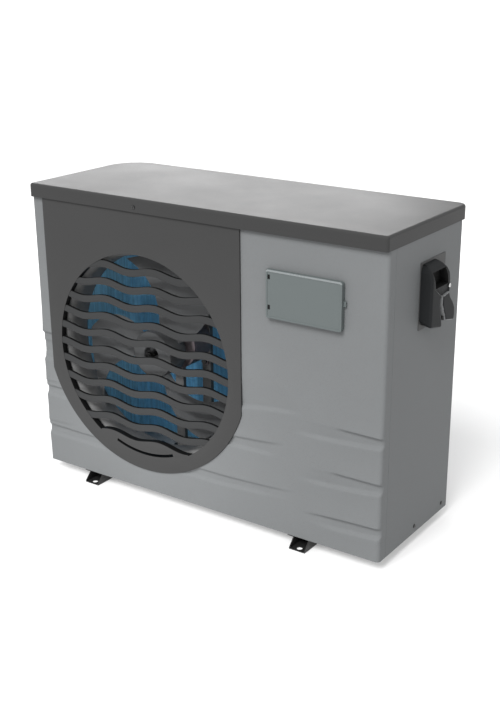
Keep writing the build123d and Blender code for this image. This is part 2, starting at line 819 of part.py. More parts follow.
with BuildPart() as partition_plate:
    with BuildSketch(Plane.XY.offset(floor_z)):
        with BuildLine():
            Polyline(
                (partition_x, inner_front + sheet_t),
                (partition_x, 119.5),
                (plate_x, 119.5),
                (plate_x, 118.0),
                (partition_x - sheet_t, 118.0),
                (partition_x - sheet_t, inner_front + sheet_t),
                close=True,
            )
        make_face()
    extrude(amount=rail_top - floor_z)
partition_plate.part.label = "partition_plate"
export_step(partition_plate.part, "parts/partition_plate.step")

compressor_top = 340.0
stub_top = compressor_top + 12.0
with BuildPart() as compressor:
    with BuildSketch(Plane.XZ.offset(-compressor_y)):
        with BuildLine():
            Polyline((compressor_x, 36.0), (compressor_x + 40.0, 36.0))
            RadiusArc((compressor_x + 40.0, 36.0), (compressor_x + compressor_r, 62.0), -34.0)
            Line((compressor_x + compressor_r, 62.0), (compressor_x + compressor_r, 308.0))
            RadiusArc((compressor_x + compressor_r, 308.0), (compressor_x + 30.0, compressor_top), -52.0)
            Polyline(
                (compressor_x + 30.0, compressor_top),
                (compressor_x + gas_pipe_r, compressor_top),
                (compressor_x + gas_pipe_r, stub_top),
                (compressor_x, stub_top),
                (compressor_x, 36.0),
            )
        make_face()
    revolve(axis=Axis((compressor_x, compressor_y, 0), (0, 0, 1)))
    with BuildSketch(Plane.XY.offset(48.0)) as foot_plate:
        with Locations((compressor_x, compressor_y)):
            RegularPolygon(118.0, 3, rotation=90)
        fillet(foot_plate.vertices(), 16.0)
        with Locations(*compressor_bolts):
            Circle(9.2, mode=Mode.SUBTRACT)
    extrude(amount=4.0)
    with BuildSketch(Plane.XY.offset(compressor_top - 3.0)):
        with Locations((compressor_x - 22.0, compressor_y)):
            Rectangle(24.0, 30.0)
    extrude(amount=20.0)
compressor.part.label = "compressor"
export_step(compressor.part, "parts/compressor.step")

grommet_steps = ((14.0, floor_z, 48.0), (9.0, 48.0, 52.0), (13.0, 52.0, grommet_top))
with BuildPart() as compressor_grommets:
    for grommet_r, z_from, z_to in grommet_steps:
        with BuildSketch(Plane.XY.offset(z_from)):
            with Locations(*compressor_bolts):
                Circle(grommet_r)
                Circle(bolt_clear_r, mode=Mode.SUBTRACT)
        extrude(amount=z_to - z_from)
compressor_grommets.part.label = "compressor_grommets"
export_step(compressor_grommets.part, "parts/compressor_grommets.step")

tank_x = 232.0
tank_y = 112.0
tank_r = 28.0
with BuildPart() as accumulator:
    with BuildSketch(Plane.XZ.offset(-tank_y)):
        with BuildLine():
            Polyline((tank_x, 110.0), (tank_x + 10.0, 110.0))
            RadiusArc((tank_x + 10.0, 110.0), (tank_x + tank_r, 132.0), -24.0)
            Line((tank_x + tank_r, 132.0), (tank_x + tank_r, 286.0))
            RadiusArc((tank_x + tank_r, 286.0), (tank_x + 10.0, 310.0), -24.0)
            Polyline((tank_x + 10.0, 310.0), (tank_x, 310.0), (tank_x, 110.0))
        make_face()
    revolve(axis=Axis((tank_x, tank_y, 0), (0, 0, 1)))
    with BuildLine() as tank_route:
        FilletPolyline(
            (tank_x, tank_y, 114.0),
            (tank_x, tank_y, 86.0),
            (compressor_x - 8.0, compressor_y + 17.0, 86.0),
            radius=16.0,
        )
    with BuildSketch(Plane(origin=tank_route.line @ 0, z_dir=tank_route.line % 0)):
        Circle(gas_pipe_r)
    sweep(path=tank_route.line)
    with BuildSketch(Plane.XY.offset(60.0)):
        with Locations((compressor_x, compressor_y)):
            Circle(compressor_r)
    extrude(amount=60.0, mode=Mode.SUBTRACT)
accumulator.part.label = "accumulator"
export_step(accumulator.part, "parts/accumulator.step")

port_top = valve_z + 20.0
port_xs = [compressor_x + dx for dx in (-25.0, 0.0, 25.0)]
with BuildPart() as four_way_valve:
    with BuildSketch(Plane.YZ.offset(compressor_x - 50.0)):
        with Locations((compressor_y, valve_z)):
            Circle(16.0)
    extrude(amount=100.0)
    for x in (compressor_x - 50.0, compressor_x + 42.0):
        with BuildSketch(Plane.YZ.offset(x)):
            with Locations((compressor_y, valve_z)):
                Circle(18.0)
        extrude(amount=8.0)
    with BuildSketch(Plane.XY.offset(valve_z)):
        with Locations(*[(x, compressor_y) for x in port_xs]):
            Circle(gas_pipe_r + 1.5)
    extrude(amount=port_top - valve_z)
    with BuildSketch(Plane.XY.offset(valve_z)):
        with Locations((compressor_x, compressor_y)):
            Circle(gas_pipe_r + 1.5)
    extrude(amount=-20.0)
    with BuildSketch(front_plane(compressor_y)):
        with Locations((compressor_x, valve_z)):
            RectangleRounded(34.0, 28.0, 4.0)
    extrude(amount=44.0)
four_way_valve.part.label = "four_way_valve"
export_step(four_way_valve.part, "parts/four_way_valve.step")

with BuildPart() as discharge_pipe:
    with BuildSketch(Plane.XY.offset(stub_top)):
        with Locations((compressor_x, compressor_y)):
            Circle(gas_pipe_r)
            Circle(gas_pipe_r - pipe_wall, mode=Mode.SUBTRACT)
    extrude(amount=valve_z - 20.0 - stub_top)
discharge_pipe.part.label = "discharge_pipe"
export_step(discharge_pipe.part, "parts/discharge_pipe.step")

suction_pipe = tube(
    [
        (compressor_x, compressor_y, port_top),
        (compressor_x, compressor_y, 490.0),
        (tank_x, tank_y, 490.0),
        (tank_x, tank_y, 310.0),
    ],
    20.0,
    gas_pipe_r,
)
suction_pipe.label = "suction_pipe"
export_step(suction_pipe, "parts/suction_pipe.step")

header_x = 163.0
header_y = 138.0
header_low = 115.0
header_top = 500.0
exchanger_top = 500.0
gas_port_x = exchanger_x - 20.0
liquid_port_x = exchanger_x + 20.0
port_y = exchanger_y - 10.0
coil_gas_route = [
    (port_xs[0], compressor_y, port_top),
    (port_xs[0], compressor_y, 540.0),
    (200.0, header_y, 540.0),
    (header_x, header_y, 540.0),
    (header_x, header_y, header_top),
]
exchanger_gas_route = [
    (port_xs[2], compressor_y, port_top),
    (port_xs[2], compressor_y, 540.0),
    (gas_port_x, port_y, 540.0),
    (gas_port_x, port_y, exchanger_top),
]
with BuildPart() as gas_pipes:
    add(tube(coil_gas_route, 15.0, gas_pipe_r))
    add(tube(exchanger_gas_route, 20.0, gas_pipe_r))
    with BuildSketch(Plane.XY.offset(header_low)):
        with Locations((header_x, header_y)):
            Circle(gas_pipe_r)
    extrude(amount=header_top - header_low)
    for k in range(8):
        with BuildSketch(Plane.YZ.offset(plate_x)):
            with Locations((header_y, header_low + 20.0 + 45.0 * k)):
                Circle(tube_r)
        extrude(amount=header_x - plate_x)
gas_pipes.part.label = "gas_pipes"
export_step(gas_pipes.part, "parts/gas_pipes.step")

expansion_x = 455.0
expansion_y = -70.0
expansion_z = 285.0
with BuildPart() as expansion_valve:
    with BuildSketch(Plane.XY.offset(expansion_z - 15.0)):
        with Locations((expansion_x, expansion_y)):
            Circle(11.0)
    extrude(amount=30.0)
    with BuildSketch(Plane.XY.offset(expansion_z + 15.0)):
        with Locations((expansion_x, expansion_y)):
            Circle(17.0)
    extrude(amount=28.0)
    with BuildSketch(Plane.XY.offset(expansion_z + 43.0)):
        with Locations((expansion_x, expansion_y)):
            Circle(8.0)
    extrude(amount=6.0)
expansion_valve.part.label = "expansion_valve"
export_step(expansion_valve.part, "parts/expansion_valve.step")

liquid_down_x = expansion_x + 25.0
liquid_in_route = [
    (liquid_port_x, port_y, exchanger_top),
    (liquid_port_x, port_y, 530.0),
    (liquid_down_x, expansion_y, 530.0),
    (liquid_down_x, expansion_y, expansion_z),
    (expansion_x + 11.5, expansion_y, expansion_z),
]
liquid_out_route = [
    (expansion_x, expansion_y, expansion_z - 15.0),
    (expansion_x, expansion_y, 90.0),
    (190.0, expansion_y, 90.0),
    (190.0, header_y, 90.0),
    (plate_x, header_y, 90.0),
]
with BuildPart() as liquid_pipes:
    add(tube(liquid_in_route, 8.0, liquid_pipe_r))
    add(tube(liquid_out_route, 18.0, liquid_pipe_r))
liquid_pipes.part.label = "liquid_pipes"
export_step(liquid_pipes.part, "parts/liquid_pipes.step")

# ---------------------------------------------------------------- Water circuit

shell_low = 50.0
shell_top = 485.0
shell_steps = (
    (52.0, floor_z, 40.0),
    (74.0, 40.0, 62.0),
    (exchanger_r, 62.0, 468.0),
    (74.0, 468.0, 490.0),
    (62.0, 490.0, exchanger_top),
)
with BuildPart() as exchanger_shell:
    for radius, z_from, z_to in shell_steps:
        with BuildSketch(Plane.XY.offset(z_from)):
            with Locations((exchanger_x, exchanger_y)):
                Circle(radius)
        extrude(amount=z_to - z_from)
    with BuildSketch(Plane.XY.offset(shell_low)):
        with Locations((exchanger_x, exchanger_y)):
            Circle(exchanger_r - 6.0)
    extrude(amount=shell_top - shell_low, mode=Mode.SUBTRACT)
    with BuildSketch(front_plane(exchanger_y)):
        with Locations(*[(exchanger_x, z) for z in port_zs]):
            Circle(water_bore_r)
    extrude(amount=-exchanger_r - 5.0, mode=Mode.SUBTRACT)
exchanger_shell.part.label = "exchanger_shell"
export_step(exchanger_shell.part, "parts/exchanger_shell.step")

tail_end = back + 21.5
collar_start = back + 3.5
switch_y = 152.0
switch_bore_r = 8.0
with BuildPart() as water_tails:
    with BuildSketch(front_plane(exchanger_y + 50.0)):
        with Locations(*[(exchanger_x, z) for z in port_zs]):
            Circle(tail_r)
    extrude(amount=exchanger_y + 50.0 - tail_end)
    with BuildSketch(front_plane(collar_start)):
        with Locations(*[(exchanger_x, z) for z in port_zs]):
            Circle(34.0)
    extrude(amount=collar_start - tail_end)
    with BuildSketch(front_plane(exchanger_y)):
        with Locations(*[(exchanger_x, z) for z in port_zs]):
            Circle(water_bore_r)
    extrude(amount=-200.0, mode=Mode.SUBTRACT)
    with BuildSketch(Plane.XY.offset(port_zs[0])):
        with Locations((exchanger_x, switch_y)):
            Circle(switch_bore_r)
    extrude(amount=40.0, mode=Mode.SUBTRACT)
    with BuildSketch(Plane.XY.offset(60.0)):
        with Locations((exchanger_x, exchanger_y)):
            Circle(exchanger_r + fit_gap)
    extrude(amount=420.0, mode=Mode.SUBTRACT)
water_tails.part.label = "water_tails"
export_step(water_tails.part, "parts/water_tails.step")

seal_t = 2.0
with BuildPart() as union_seals:
    with BuildSketch(front_plane(tail_end)):
        with Locations(*[(exchanger_x, z) for z in port_zs]):
            Circle(31.0)
            Circle(25.0, mode=Mode.SUBTRACT)
    extrude(amount=-seal_t)
union_seals.part.label = "union_seals"
export_step(union_seals.part, "parts/union_seals.step")

end_start = tail_end + seal_t
end_back = end_start + 9.0 + pipe_socket_depth
with BuildPart() as union_ends:
    with BuildSketch(front_plane(end_start)):
        with Locations(*[(exchanger_x, z) for z in port_zs]):
            Circle(33.5)
    extrude(amount=-5.0)
    with BuildSketch(front_plane(end_start)):
        with Locations(*[(exchanger_x, z) for z in port_zs]):
            Circle(30.5)
    extrude(amount=end_start - end_back)
    with BuildSketch(front_plane(end_start)):
        with Locations(*[(exchanger_x, z) for z in port_zs]):
            Circle(water_bore_r)
    extrude(amount=-9.0, mode=Mode.SUBTRACT)
    with BuildSketch(front_plane(end_start + 9.0)):
        with Locations(*[(exchanger_x, z) for z in port_zs]):
            Circle(pipe_socket_r)
    extrude(amount=-pipe_socket_depth, mode=Mode.SUBTRACT)
union_ends.part.label = "union_ends"
export_step(union_ends.part, "parts/union_ends.step")

nut_start = back + 5.0
nut_lip = end_start + 5.2
nut_end = nut_lip + 6.0
with BuildPart() as union_nuts:
    with BuildSketch(front_plane(nut_start)):
        with Locations(*[(exchanger_x, z) for z in port_zs]):
            Circle(42.0)
            with PolarLocations(42.0, 10):
                Circle(3.0)
    extrude(amount=nut_start - nut_end)
    with BuildSketch(front_plane(nut_start)):
        with Locations(*[(exchanger_x, z) for z in port_zs]):
            Circle(34.4)
    extrude(amount=nut_start - nut_lip, mode=Mode.SUBTRACT)
    with BuildSketch(front_plane(nut_start)):
        with Locations(*[(exchanger_x, z) for z in port_zs]):
            Circle(31.0)
    extrude(amount=nut_start - nut_end, mode=Mode.SUBTRACT)
union_nuts.part.label = "union_nuts"
export_step(union_nuts.part, "parts/union_nuts.step")

pivot_z = 157.0
pivot_pin_r = 1.2
with BuildPart() as flow_switch:
    with BuildSketch(Plane.XY.offset(port_zs[0] + 20.0)):
        with Locations((exchanger_x, switch_y)):
            Circle(13.0)
    extrude(amount=22.0)
    with BuildSketch(Plane.XY.offset(port_zs[0] + 42.0)):
        with Locations((exchanger_x, switch_y)):
            RectangleRounded(36.0, 34.0, 4.0)
    extrude(amount=46.0)
    with BuildSketch(Plane.XY.offset(port_zs[0] + 20.0)):
        with Locations((exchanger_x, switch_y)):
            Circle(switch_bore_r)
    extrude(amount=26.0, mode=Mode.SUBTRACT)
    with BuildSketch(front_plane(100.0)):
        with Locations((exchanger_x, port_zs[0])):
            Circle(tail_r + fit_gap)
    extrude(amount=-100.0, mode=Mode.SUBTRACT)
    with BuildSketch(Plane.YZ.offset(exchanger_x)):
        with Locations((switch_y, pivot_z)):
            Circle(pivot_pin_r + 0.3)
    extrude(amount=11.5, both=True, mode=Mode.SUBTRACT)
flow_switch.part.label = "flow_switch"
export_step(flow_switch.part, "parts/flow_switch.step")

with BuildPart() as flow_paddle:
    with BuildSketch(Plane.YZ.offset(exchanger_x)):
        with Locations((switch_y, pivot_z)):
            Circle(3.5)
    extrude(amount=4.0, both=True)
    with BuildSketch(Plane.YZ.offset(exchanger_x)):
        with Locations((switch_y, pivot_z)):
            Circle(pivot_pin_r)
    extrude(amount=11.0, both=True)
    with BuildSketch(Plane.XY.offset(pivot_z)):
        with Locations((exchanger_x, switch_y)):
            Circle(1.8)
    extrude(amount=-36.0)
    with BuildSketch(front_plane(switch_y + 0.8)):
        with Locations((exchanger_x, 114.0)):
            RectangleRounded(17.0, 28.0, 6.0)
    extrude(amount=1.6)
flow_paddle.part.label = "flow_paddle"
export_step(flow_paddle.part, "parts/flow_paddle.step")

# ---------------------------------------------------------------- Electrics

tray_y = 120.0
tray_wall = 55.0
board_spot = (300.0, -15.0)
board_size = (200.0, 150.0)
board_z = tray_z + 11.0
spacer_spots = [(board_spot[0] + sx * 92.0, board_spot[1] + sy * 67.0) for sx in (-1, 1) for sy in (-1, 1)]
with BuildPart() as electrical_box:
    with BuildSketch(Plane.XY.offset(tray_z)):
        with Locations(((partition_x + inner_right) / 2, 0)):
            Rectangle(inner_right - partition_x, 2 * tray_y)
    extrude(amount=sheet_t)
    for y in (-tray_y, tray_y - sheet_t):
        with BuildSketch(Plane.XY.offset(tray_z)):
            with Locations((partition_x, y)):
                Rectangle(inner_right - partition_x, sheet_t, align=(Align.MIN, Align.MIN))
        extrude(amount=tray_wall)
    with BuildSketch(Plane.XY.offset(tray_z)):
        with Locations((partition_x, 0)):
            Rectangle(sheet_t, 2 * tray_y, align=(Align.MIN, Align.CENTER))
    extrude(amount=tray_wall)
    with BuildSketch(Plane.XY.offset(tray_z)):
        with Locations(*spacer_spots):
            Circle(4.0)
    extrude(amount=board_z - tray_z)
electrical_box.part.label = "electrical_box"
export_step(electrical_box.part, "parts/electrical_box.step")

with BuildPart() as circuit_board:
    with BuildSketch(Plane.XY.offset(board_z)):
        with Locations(board_spot):
            Rectangle(*board_size)
    extrude(amount=1.6)
circuit_board.part.label = "circuit_board"
export_step(circuit_board.part, "parts/circuit_board.step")

parts_z = board_z + 1.6
with BuildPart() as board_parts:
    for index in range(4):
        with BuildSketch(Plane.XY.offset(parts_z)):
            with Locations((222.0 + 30.0 * index, 40.0)):
                Rectangle(20.0, 16.0)
        extrude(amount=16.0)
    for index in range(3):
        with BuildSketch(Plane.XY.offset(parts_z)):
            with Locations((226.0 + 34.0 * index, 0.0)):
                Circle(13.0)
        extrude(amount=36.0)
    with BuildSketch(Plane.XY.offset(parts_z)):
        with Locations((355.0, -30.0)):
            Rectangle(60.0, 90.0)
    extrude(amount=6.0)
    for index in range(9):
        with BuildSketch(Plane.XY.offset(parts_z + 6.0)):
            with Locations((355.0, -70.0 + 10.0 * index)):
                Rectangle(60.0, 2.0)
        extrude(amount=24.0)
board_parts.part.label = "board_parts"
export_step(board_parts.part, "parts/board_parts.step")

with BuildPart() as terminal_block:
    with BuildSketch(Plane.XY.offset(tray_z + sheet_t)):
        with Locations((460.0, 22.0)):
            Rectangle(36.0, 96.0)
    extrude(amount=24.0)
    for index in range(6):
        with BuildSketch(Plane.XY.offset(tray_z + sheet_t + 24.0)):
            with Locations((460.0, -16.0 + 15.2 * index)):
                Circle(4.0)
        extrude(amount=-16.0, mode=Mode.SUBTRACT)
terminal_block.part.label = "terminal_block"
export_step(terminal_block.part, "parts/terminal_block.step")

# ---------------------------------------------------------------- Cable cover

plate_out = right + sheet_t
hood_out = plate_out + hood_depth
with BuildPart() as cable_plate:
    with BuildSketch(Plane.YZ.offset(right)) as plate_shape:
        with Locations((sum(plate_y) / 2, sum(plate_z) / 2)):
            Rectangle(plate_y[1] - plate_y[0], plate_z[1] - plate_z[0])
        fillet(plate_shape.vertices(), 3.0)
        with Locations((wire_hole_spot[0], wire_hole_spot[1] - 6.0)):
            Rectangle(50.0, 36.0, mode=Mode.SUBTRACT)
        with Locations(hood_screw_spot):
            Circle(screw_hole_r, mode=Mode.SUBTRACT)
    extrude(amount=sheet_t)
cable_plate.part.label = "cable_plate"
export_step(cable_plate.part, "parts/cable_plate.step")

lobe_ys = (-8.0, 50.0)
lobe_low = 541.0
lobe_pocket_tops = (623.0, 575.0)
lobe_pocket_width = 34.0
link_y = 37.0
link_width = 8.0
hood_skin = 4.0
grip_size = (66.0, 34.0)
grip_spot = (8.0, 645.0)
grip_depth = 20.0
with BuildPart() as cable_hood:
    with BuildSketch(Plane.YZ.offset(plate_out)) as hood_shape:
        with BuildLine():
            Polyline(
                (-36.0, lobe_low),
                (-36.0, 680.0),
                (30.0, 680.0),
                (48.0, 662.0),
                (57.0, 634.0),
                (55.0, 602.0),
                (86.0, 562.0),
                (86.0, lobe_low),
                (30.0, lobe_low),
                (22.0, 598.0),
                (14.0, lobe_low),
                close=True,
            )
        make_face()
        fillet(hood_shape.vertices().filter_by_position(Axis.Y, lobe_low - 1, lobe_low + 1), 8.0)
    extrude(amount=hood_depth)
    fillet(cable_hood.edges().group_by(Axis.X)[-1].sort_by(Axis.Z)[-1], 24.0)
    with BuildSketch(Plane.YZ.offset(hood_out)):
        with Locations(grip_spot):
            RectangleRounded(*grip_size, 5.0)
    extrude(amount=-grip_depth, mode=Mode.SUBTRACT)
    with BuildSketch(Plane.YZ.offset(plate_out)):
        for y, pocket_top in zip(lobe_ys, lobe_pocket_tops):
            with Locations((y, lobe_low)):
                Rectangle(lobe_pocket_width, pocket_top - lobe_low, align=(Align.CENTER, Align.MIN))
        with Locations((link_y, lobe_low)):
            Rectangle(link_width, lobe_pocket_tops[0] - lobe_low, align=(Align.CENTER, Align.MIN))
    extrude(amount=hood_depth - hood_skin, mode=Mode.SUBTRACT)
    with BuildSketch(Plane.YZ.offset(plate_out)):
        with Locations(hood_screw_spot):
            Circle(screw_hole_r)
    extrude(amount=hood_depth, mode=Mode.SUBTRACT)
cable_hood.part.label = "cable_hood"
export_step(cable_hood.part, "parts/cable_hood.step")

grommet_height = 10.0
cable_bore_r = 4.0
with BuildPart() as cable_grommets:
    with BuildSketch(Plane.XY.offset(lobe_low + 2.0)):
        for y in lobe_ys:
            with Locations((plate_out + (hood_depth - hood_skin) / 2, y)):
                RectangleRounded(hood_depth - hood_skin, lobe_pocket_width, 3.0)
                Circle(cable_bore_r, mode=Mode.SUBTRACT)
    extrude(amount=grommet_height)
cable_grommets.part.label = "cable_grommets"
export_step(cable_grommets.part, "parts/cable_grommets.step")

hood_screw = pan_screw(Plane(origin=(hood_out, *hood_screw_spot), z_dir=(1, 0, 0)), hood_depth + 6.0)
hood_screw.label = "hood_screw"
export_step(hood_screw, "parts/hood_screw.step")

# ---------------------------------------------------------------- Controller

bezel_face = front - bezel_t
bezel_left = hinge_x + 7.5
bezel_right = door_x + door_width - door_wall - 1.5
box_back = front + 30.0
key_xs = [controller_x + key_pitch * (index - 2) for index in range(len(key_names))]
lens_size = (110.0, 42.0)
lens_z = 622.0
lens_t = 2.0
with BuildPart() as controller_body:
    with BuildSketch(front_plane(front)):
        with Locations(((bezel_left + bezel_right) / 2, controller_z)):
            Rectangle(bezel_right - bezel_left, door_height - 2 * door_wall - 3.0)
    extrude(amount=bezel_t)
    with BuildSketch(front_plane(front)):
        with Locations((controller_x, controller_z)):
            Rectangle(body_opening[0] - 1.0, body_opening[1] - 1.0)
            Rectangle(body_opening[0] - 5.0, body_opening[1] - 5.0, mode=Mode.SUBTRACT)
    extrude(amount=front - box_back)
    for z in hinge_zs:
        with BuildSketch(Plane.XY.offset(z - 5.0)):
            with Locations((hinge_x, hinge_y)):
                Circle(3.5)
            with Locations((hinge_x, hinge_y)):
                Rectangle(bezel_left + 4.0 - hinge_x, 3.5, align=(Align.MIN, Align.MIN))
            with Locations((hinge_x + 2.5, front)):
                Rectangle(bezel_left + 4.0 - hinge_x - 2.5, 6.0, align=(Align.MIN, Align.MAX))
            with Locations((hinge_x, hinge_y)):
                Circle(1.65, mode=Mode.SUBTRACT)
        extrude(amount=10.0)
    with BuildSketch(front_plane(bezel_face)):
        with Locations((controller_x, lens_z)):
            Rectangle(lens_size[0] + 0.2, lens_size[1] + 0.2)
    extrude(amount=-lens_t, mode=Mode.SUBTRACT)
    with BuildSketch(front_plane(bezel_face)):
        with Locations((controller_x, lens_z)):
            Rectangle(lens_size[0] - 8.0, lens_size[1] - 8.0)
        with Locations(*[(x, key_z) for x in key_xs]):
            Circle(key_r + 0.35)
    extrude(amount=-bezel_t, mode=Mode.SUBTRACT)
controller_body.part.label = "controller_body"
export_step(controller_body.part, "parts/controller_body.step")

with BuildPart() as display_lens:
    with BuildSketch(front_plane(bezel_face)):
        with Locations((controller_x, lens_z)):
            Rectangle(*lens_size)
    extrude(amount=-lens_t)
display_lens.part.label = "display_lens"
export_step(display_lens.part, "parts/display_lens.step")

key_travel = 1.0
board_face = front + 7.0
switch_top = front + 5.0
with BuildPart() as controller_board:
    with BuildSketch(front_plane(board_face)):
        with Locations((controller_x, controller_z)):
            Rectangle(body_opening[0] - 5.0, body_opening[1] - 5.0)
    extrude(amount=-1.6)
    with BuildSketch(front_plane(switch_top)):
        with Locations(*[(x, key_z) for x in key_xs]):
            Rectangle(6.0, 6.0)
    extrude(amount=switch_top - board_face)
    with BuildSketch(front_plane(front + 0.5)):
        with Locations((controller_x, lens_z)):
            Rectangle(lens_size[0] - 10.0, lens_size[1] - 10.0)
    extrude(amount=front + 0.5 - board_face)
controller_board.part.label = "controller_board"
export_step(controller_board.part, "parts/controller_board.step")

flange_front = front + 0.3
for x, key_name in zip(key_xs, key_names):
    with BuildPart() as key:
        with BuildSketch(front_plane(bezel_face - 1.6)):
            with Locations((x, key_z)):
                Circle(key_r)
        extrude(amount=bezel_face - 1.6 - flange_front)
        fillet(key.faces().sort_by(Axis.Y)[0].edges(), 0.8)
        with BuildSketch(front_plane(flange_front)):
            with Locations((x, key_z)):
                Circle(key_r + 1.6)
        extrude(amount=-1.2)
        with BuildSketch(front_plane(flange_front + 1.2)):
            with Locations((x, key_z)):
                Circle(1.8)
        extrude(amount=flange_front + 1.2 - switch_top + key_travel + 0.2)
    key.part.label = key_name
    export_step(key.part, f"parts/{key_name}.step")

door_back = front - 0.6
notch_width = hinge_x + 12.0 - door_x
with BuildPart() as controller_door:
    with BuildSketch(front_plane(door_back)) as door_shape:
        with Locations((controller_x, controller_z)):
            Rectangle(door_width, door_height)
        right_corners = door_shape.vertices().group_by(Axis.X)[-1]
        fillet(right_corners, 7.0)
    extrude(amount=door_back - door_face)
    fillet(controller_door.faces().sort_by(Axis.Y)[0].edges(), 2.0)
    with BuildSketch(front_plane(door_back)) as door_hollow:
        with Locations((controller_x, controller_z)):
            Rectangle(door_width - 2 * door_wall, door_height - 2 * door_wall)
        hollow_corners = door_hollow.vertices().group_by(Axis.X)[-1]
        fillet(hollow_corners, 4.5)
    extrude(amount=door_back - door_face - door_wall, mode=Mode.SUBTRACT)
    for z in hinge_zs:
        with BuildSketch(Plane.XY.offset(z - 9.0)):
            with Locations((hinge_x, hinge_y)):
                Circle(3.2)
            with Locations((hinge_x - 1.0, door_face + 1.0)):
                Rectangle(4.2, hinge_y - door_face - 1.0, align=(Align.MIN, Align.MIN))
        extrude(amount=18.0)
    with BuildSketch(front_plane(door_back)):
        with Locations(*[(door_x - 3.0, z) for z in hinge_zs]):
            Rectangle(notch_width, 11.0, align=(Align.MIN, Align.CENTER))
    extrude(amount=20.0, mode=Mode.SUBTRACT)
    for z in hinge_zs:
        with BuildSketch(Plane.XY.offset(z - 8.0)):
            with Locations((hinge_x, hinge_y)):
                Circle(1.5)
        extrude(amount=16.0, mode=Mode.SUBTRACT)
    with BuildSketch(Plane.YZ.offset(door_x + door_width)):
        with Locations((door_back - 3.0, 614.0)):
            Rectangle(3.6, 12.0)
    extrude(amount=6.0)
controller_door.part.label = "controller_door"
export_step(controller_door.part, "parts/controller_door.step")

with BuildPart() as hinge_pins:
    for z in hinge_zs:
        with BuildSketch(Plane.XY.offset(z - 8.0)):
            with Locations((hinge_x, hinge_y)):
                Circle(1.5)
        extrude(amount=16.0)
hinge_pins.part.label = "hinge_pins"
export_step(hinge_pins.part, "parts/hinge_pins.step")
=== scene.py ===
import json
from math import atan2, cos, hypot, pi, radians, sin, sqrt, tau
from random import Random

import bmesh
import bpy
from mathutils import Matrix, Vector


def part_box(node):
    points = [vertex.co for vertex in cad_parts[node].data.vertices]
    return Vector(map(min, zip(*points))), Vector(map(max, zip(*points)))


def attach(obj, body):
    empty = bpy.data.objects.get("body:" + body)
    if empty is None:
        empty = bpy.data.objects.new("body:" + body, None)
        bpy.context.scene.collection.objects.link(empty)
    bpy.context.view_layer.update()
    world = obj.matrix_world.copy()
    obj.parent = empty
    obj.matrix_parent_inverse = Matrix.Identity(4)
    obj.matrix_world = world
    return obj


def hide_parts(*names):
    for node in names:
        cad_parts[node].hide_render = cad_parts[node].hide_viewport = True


# Heat pump unit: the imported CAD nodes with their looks, and the pieces that a finer shape replaces.
# X runs to the unit's right, Y to its rear and Z up, in metres. The fan blows towards the front.

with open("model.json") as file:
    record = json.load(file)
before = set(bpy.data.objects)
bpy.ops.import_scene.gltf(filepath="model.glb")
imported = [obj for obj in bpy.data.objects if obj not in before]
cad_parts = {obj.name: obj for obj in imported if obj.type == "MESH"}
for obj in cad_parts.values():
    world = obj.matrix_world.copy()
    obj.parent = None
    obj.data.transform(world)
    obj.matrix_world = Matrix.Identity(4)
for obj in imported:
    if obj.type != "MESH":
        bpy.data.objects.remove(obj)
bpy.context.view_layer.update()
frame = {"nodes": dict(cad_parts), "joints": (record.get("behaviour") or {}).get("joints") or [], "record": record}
nodes = frame["nodes"]
MM = 0.001


# ---------------------------------------------------------------- places read from the frame

side_low, side_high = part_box("right_panel")
panel_low, panel_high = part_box("front_panel")
grille_low, grille_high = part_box("fan_panel")
coil_low, coil_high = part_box("evaporator_fins")
hood_low, hood_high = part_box("cable_hood")
fan_joint = next(joint for joint in frame["joints"] if joint["name"] == "fan_spin")
FAN_X, _, FAN_Z = fan_joint["pos_m"]

SEAM_GAP = 0.5 * MM
LEFT, RIGHT = panel_low.x, panel_high.x
FRONT, SEAM_Y = panel_low.y, side_low.y - SEAM_GAP
LOW, TOP = side_low.z, side_high.z
PANEL_T = 3 * MM
FRONT_LEFT_R, FRONT_RIGHT_R = 5 * MM, 9 * MM

GRILLE_R = 261 * MM
SLOT_TOP_Z = 603 * MM
SLOT_PITCH = 44.35 * MM
SLOT_HEIGHT = 26.8 * MM
SLOT_ROWS = 11
WAVE_PITCH = 152.5 * MM
WAVE_HEIGHT = 5.5 * MM
WAVE_CREST_X = -252 * MM


# ---------------------------------------------------------------- small helpers


def clamp(t):
    """t held between 0 and 1."""
    return min(1.0, max(0.0, t))


def smoothstep(t):
    """0 below 0, 1 above 1 and smooth between."""
    t = clamp(t)
    return t * t * (3 - 2 * t)


def lerp(a, b, t):
    """From a at t = 0 evenly to b at t = 1."""
    return a + (b - a) * t


def spaced(start, end, step):
    """Even values from start up to, but without, end."""
    count = max(1, round(abs(end - start) / step))
    return [start + (end - start) * k / count for k in range(count)]


def linear(value):
    """Linear light of an 8-bit display value."""
    v = value / 255
    return v / 12.92 if v <= 0.04045 else ((v + 0.055) / 1.055) ** 2.4


def rgb(r, g, b):
    """Linear colour of 8-bit display values."""
    return linear(r), linear(g), linear(b), 1.0


def grey(value, warm=0.0):
    """Linear colour of an 8-bit display grey, a little warmer or cooler by warm."""
    return rgb(value + warm, value, value - warm)


def shaded(colour, share):
    """Colour made lighter by a share of itself, or darker by a negative share."""
    return tuple(min(1.0, c * (1 + share)) for c in colour[:3]) + (1.0,)


# ---------------------------------------------------------------- materials

BLACK, WHITE = (0, 0, 0, 1), (1, 1, 1, 1)
CLOUD_DETAIL, CLOUD_ROUGHNESS = 5.0, 0.6
GRAIN_DETAIL, GRAIN_ROUGHNESS = 2.0, 0.5
CLOUD_STOPS = 0.3, 0.7
SPECK_STOPS = 0.60, 0.68
GRAIN_STRENGTH = 0.7
COAT_ROUGHNESS = 0.2
LEAST_ROUGHNESS = 0.02
# Places of the colour sockets of a Mix node, whose names repeat.
MIX_FACTOR, MIX_FIRST, MIX_SECOND, MIX_RESULT = 0, 6, 7, 2


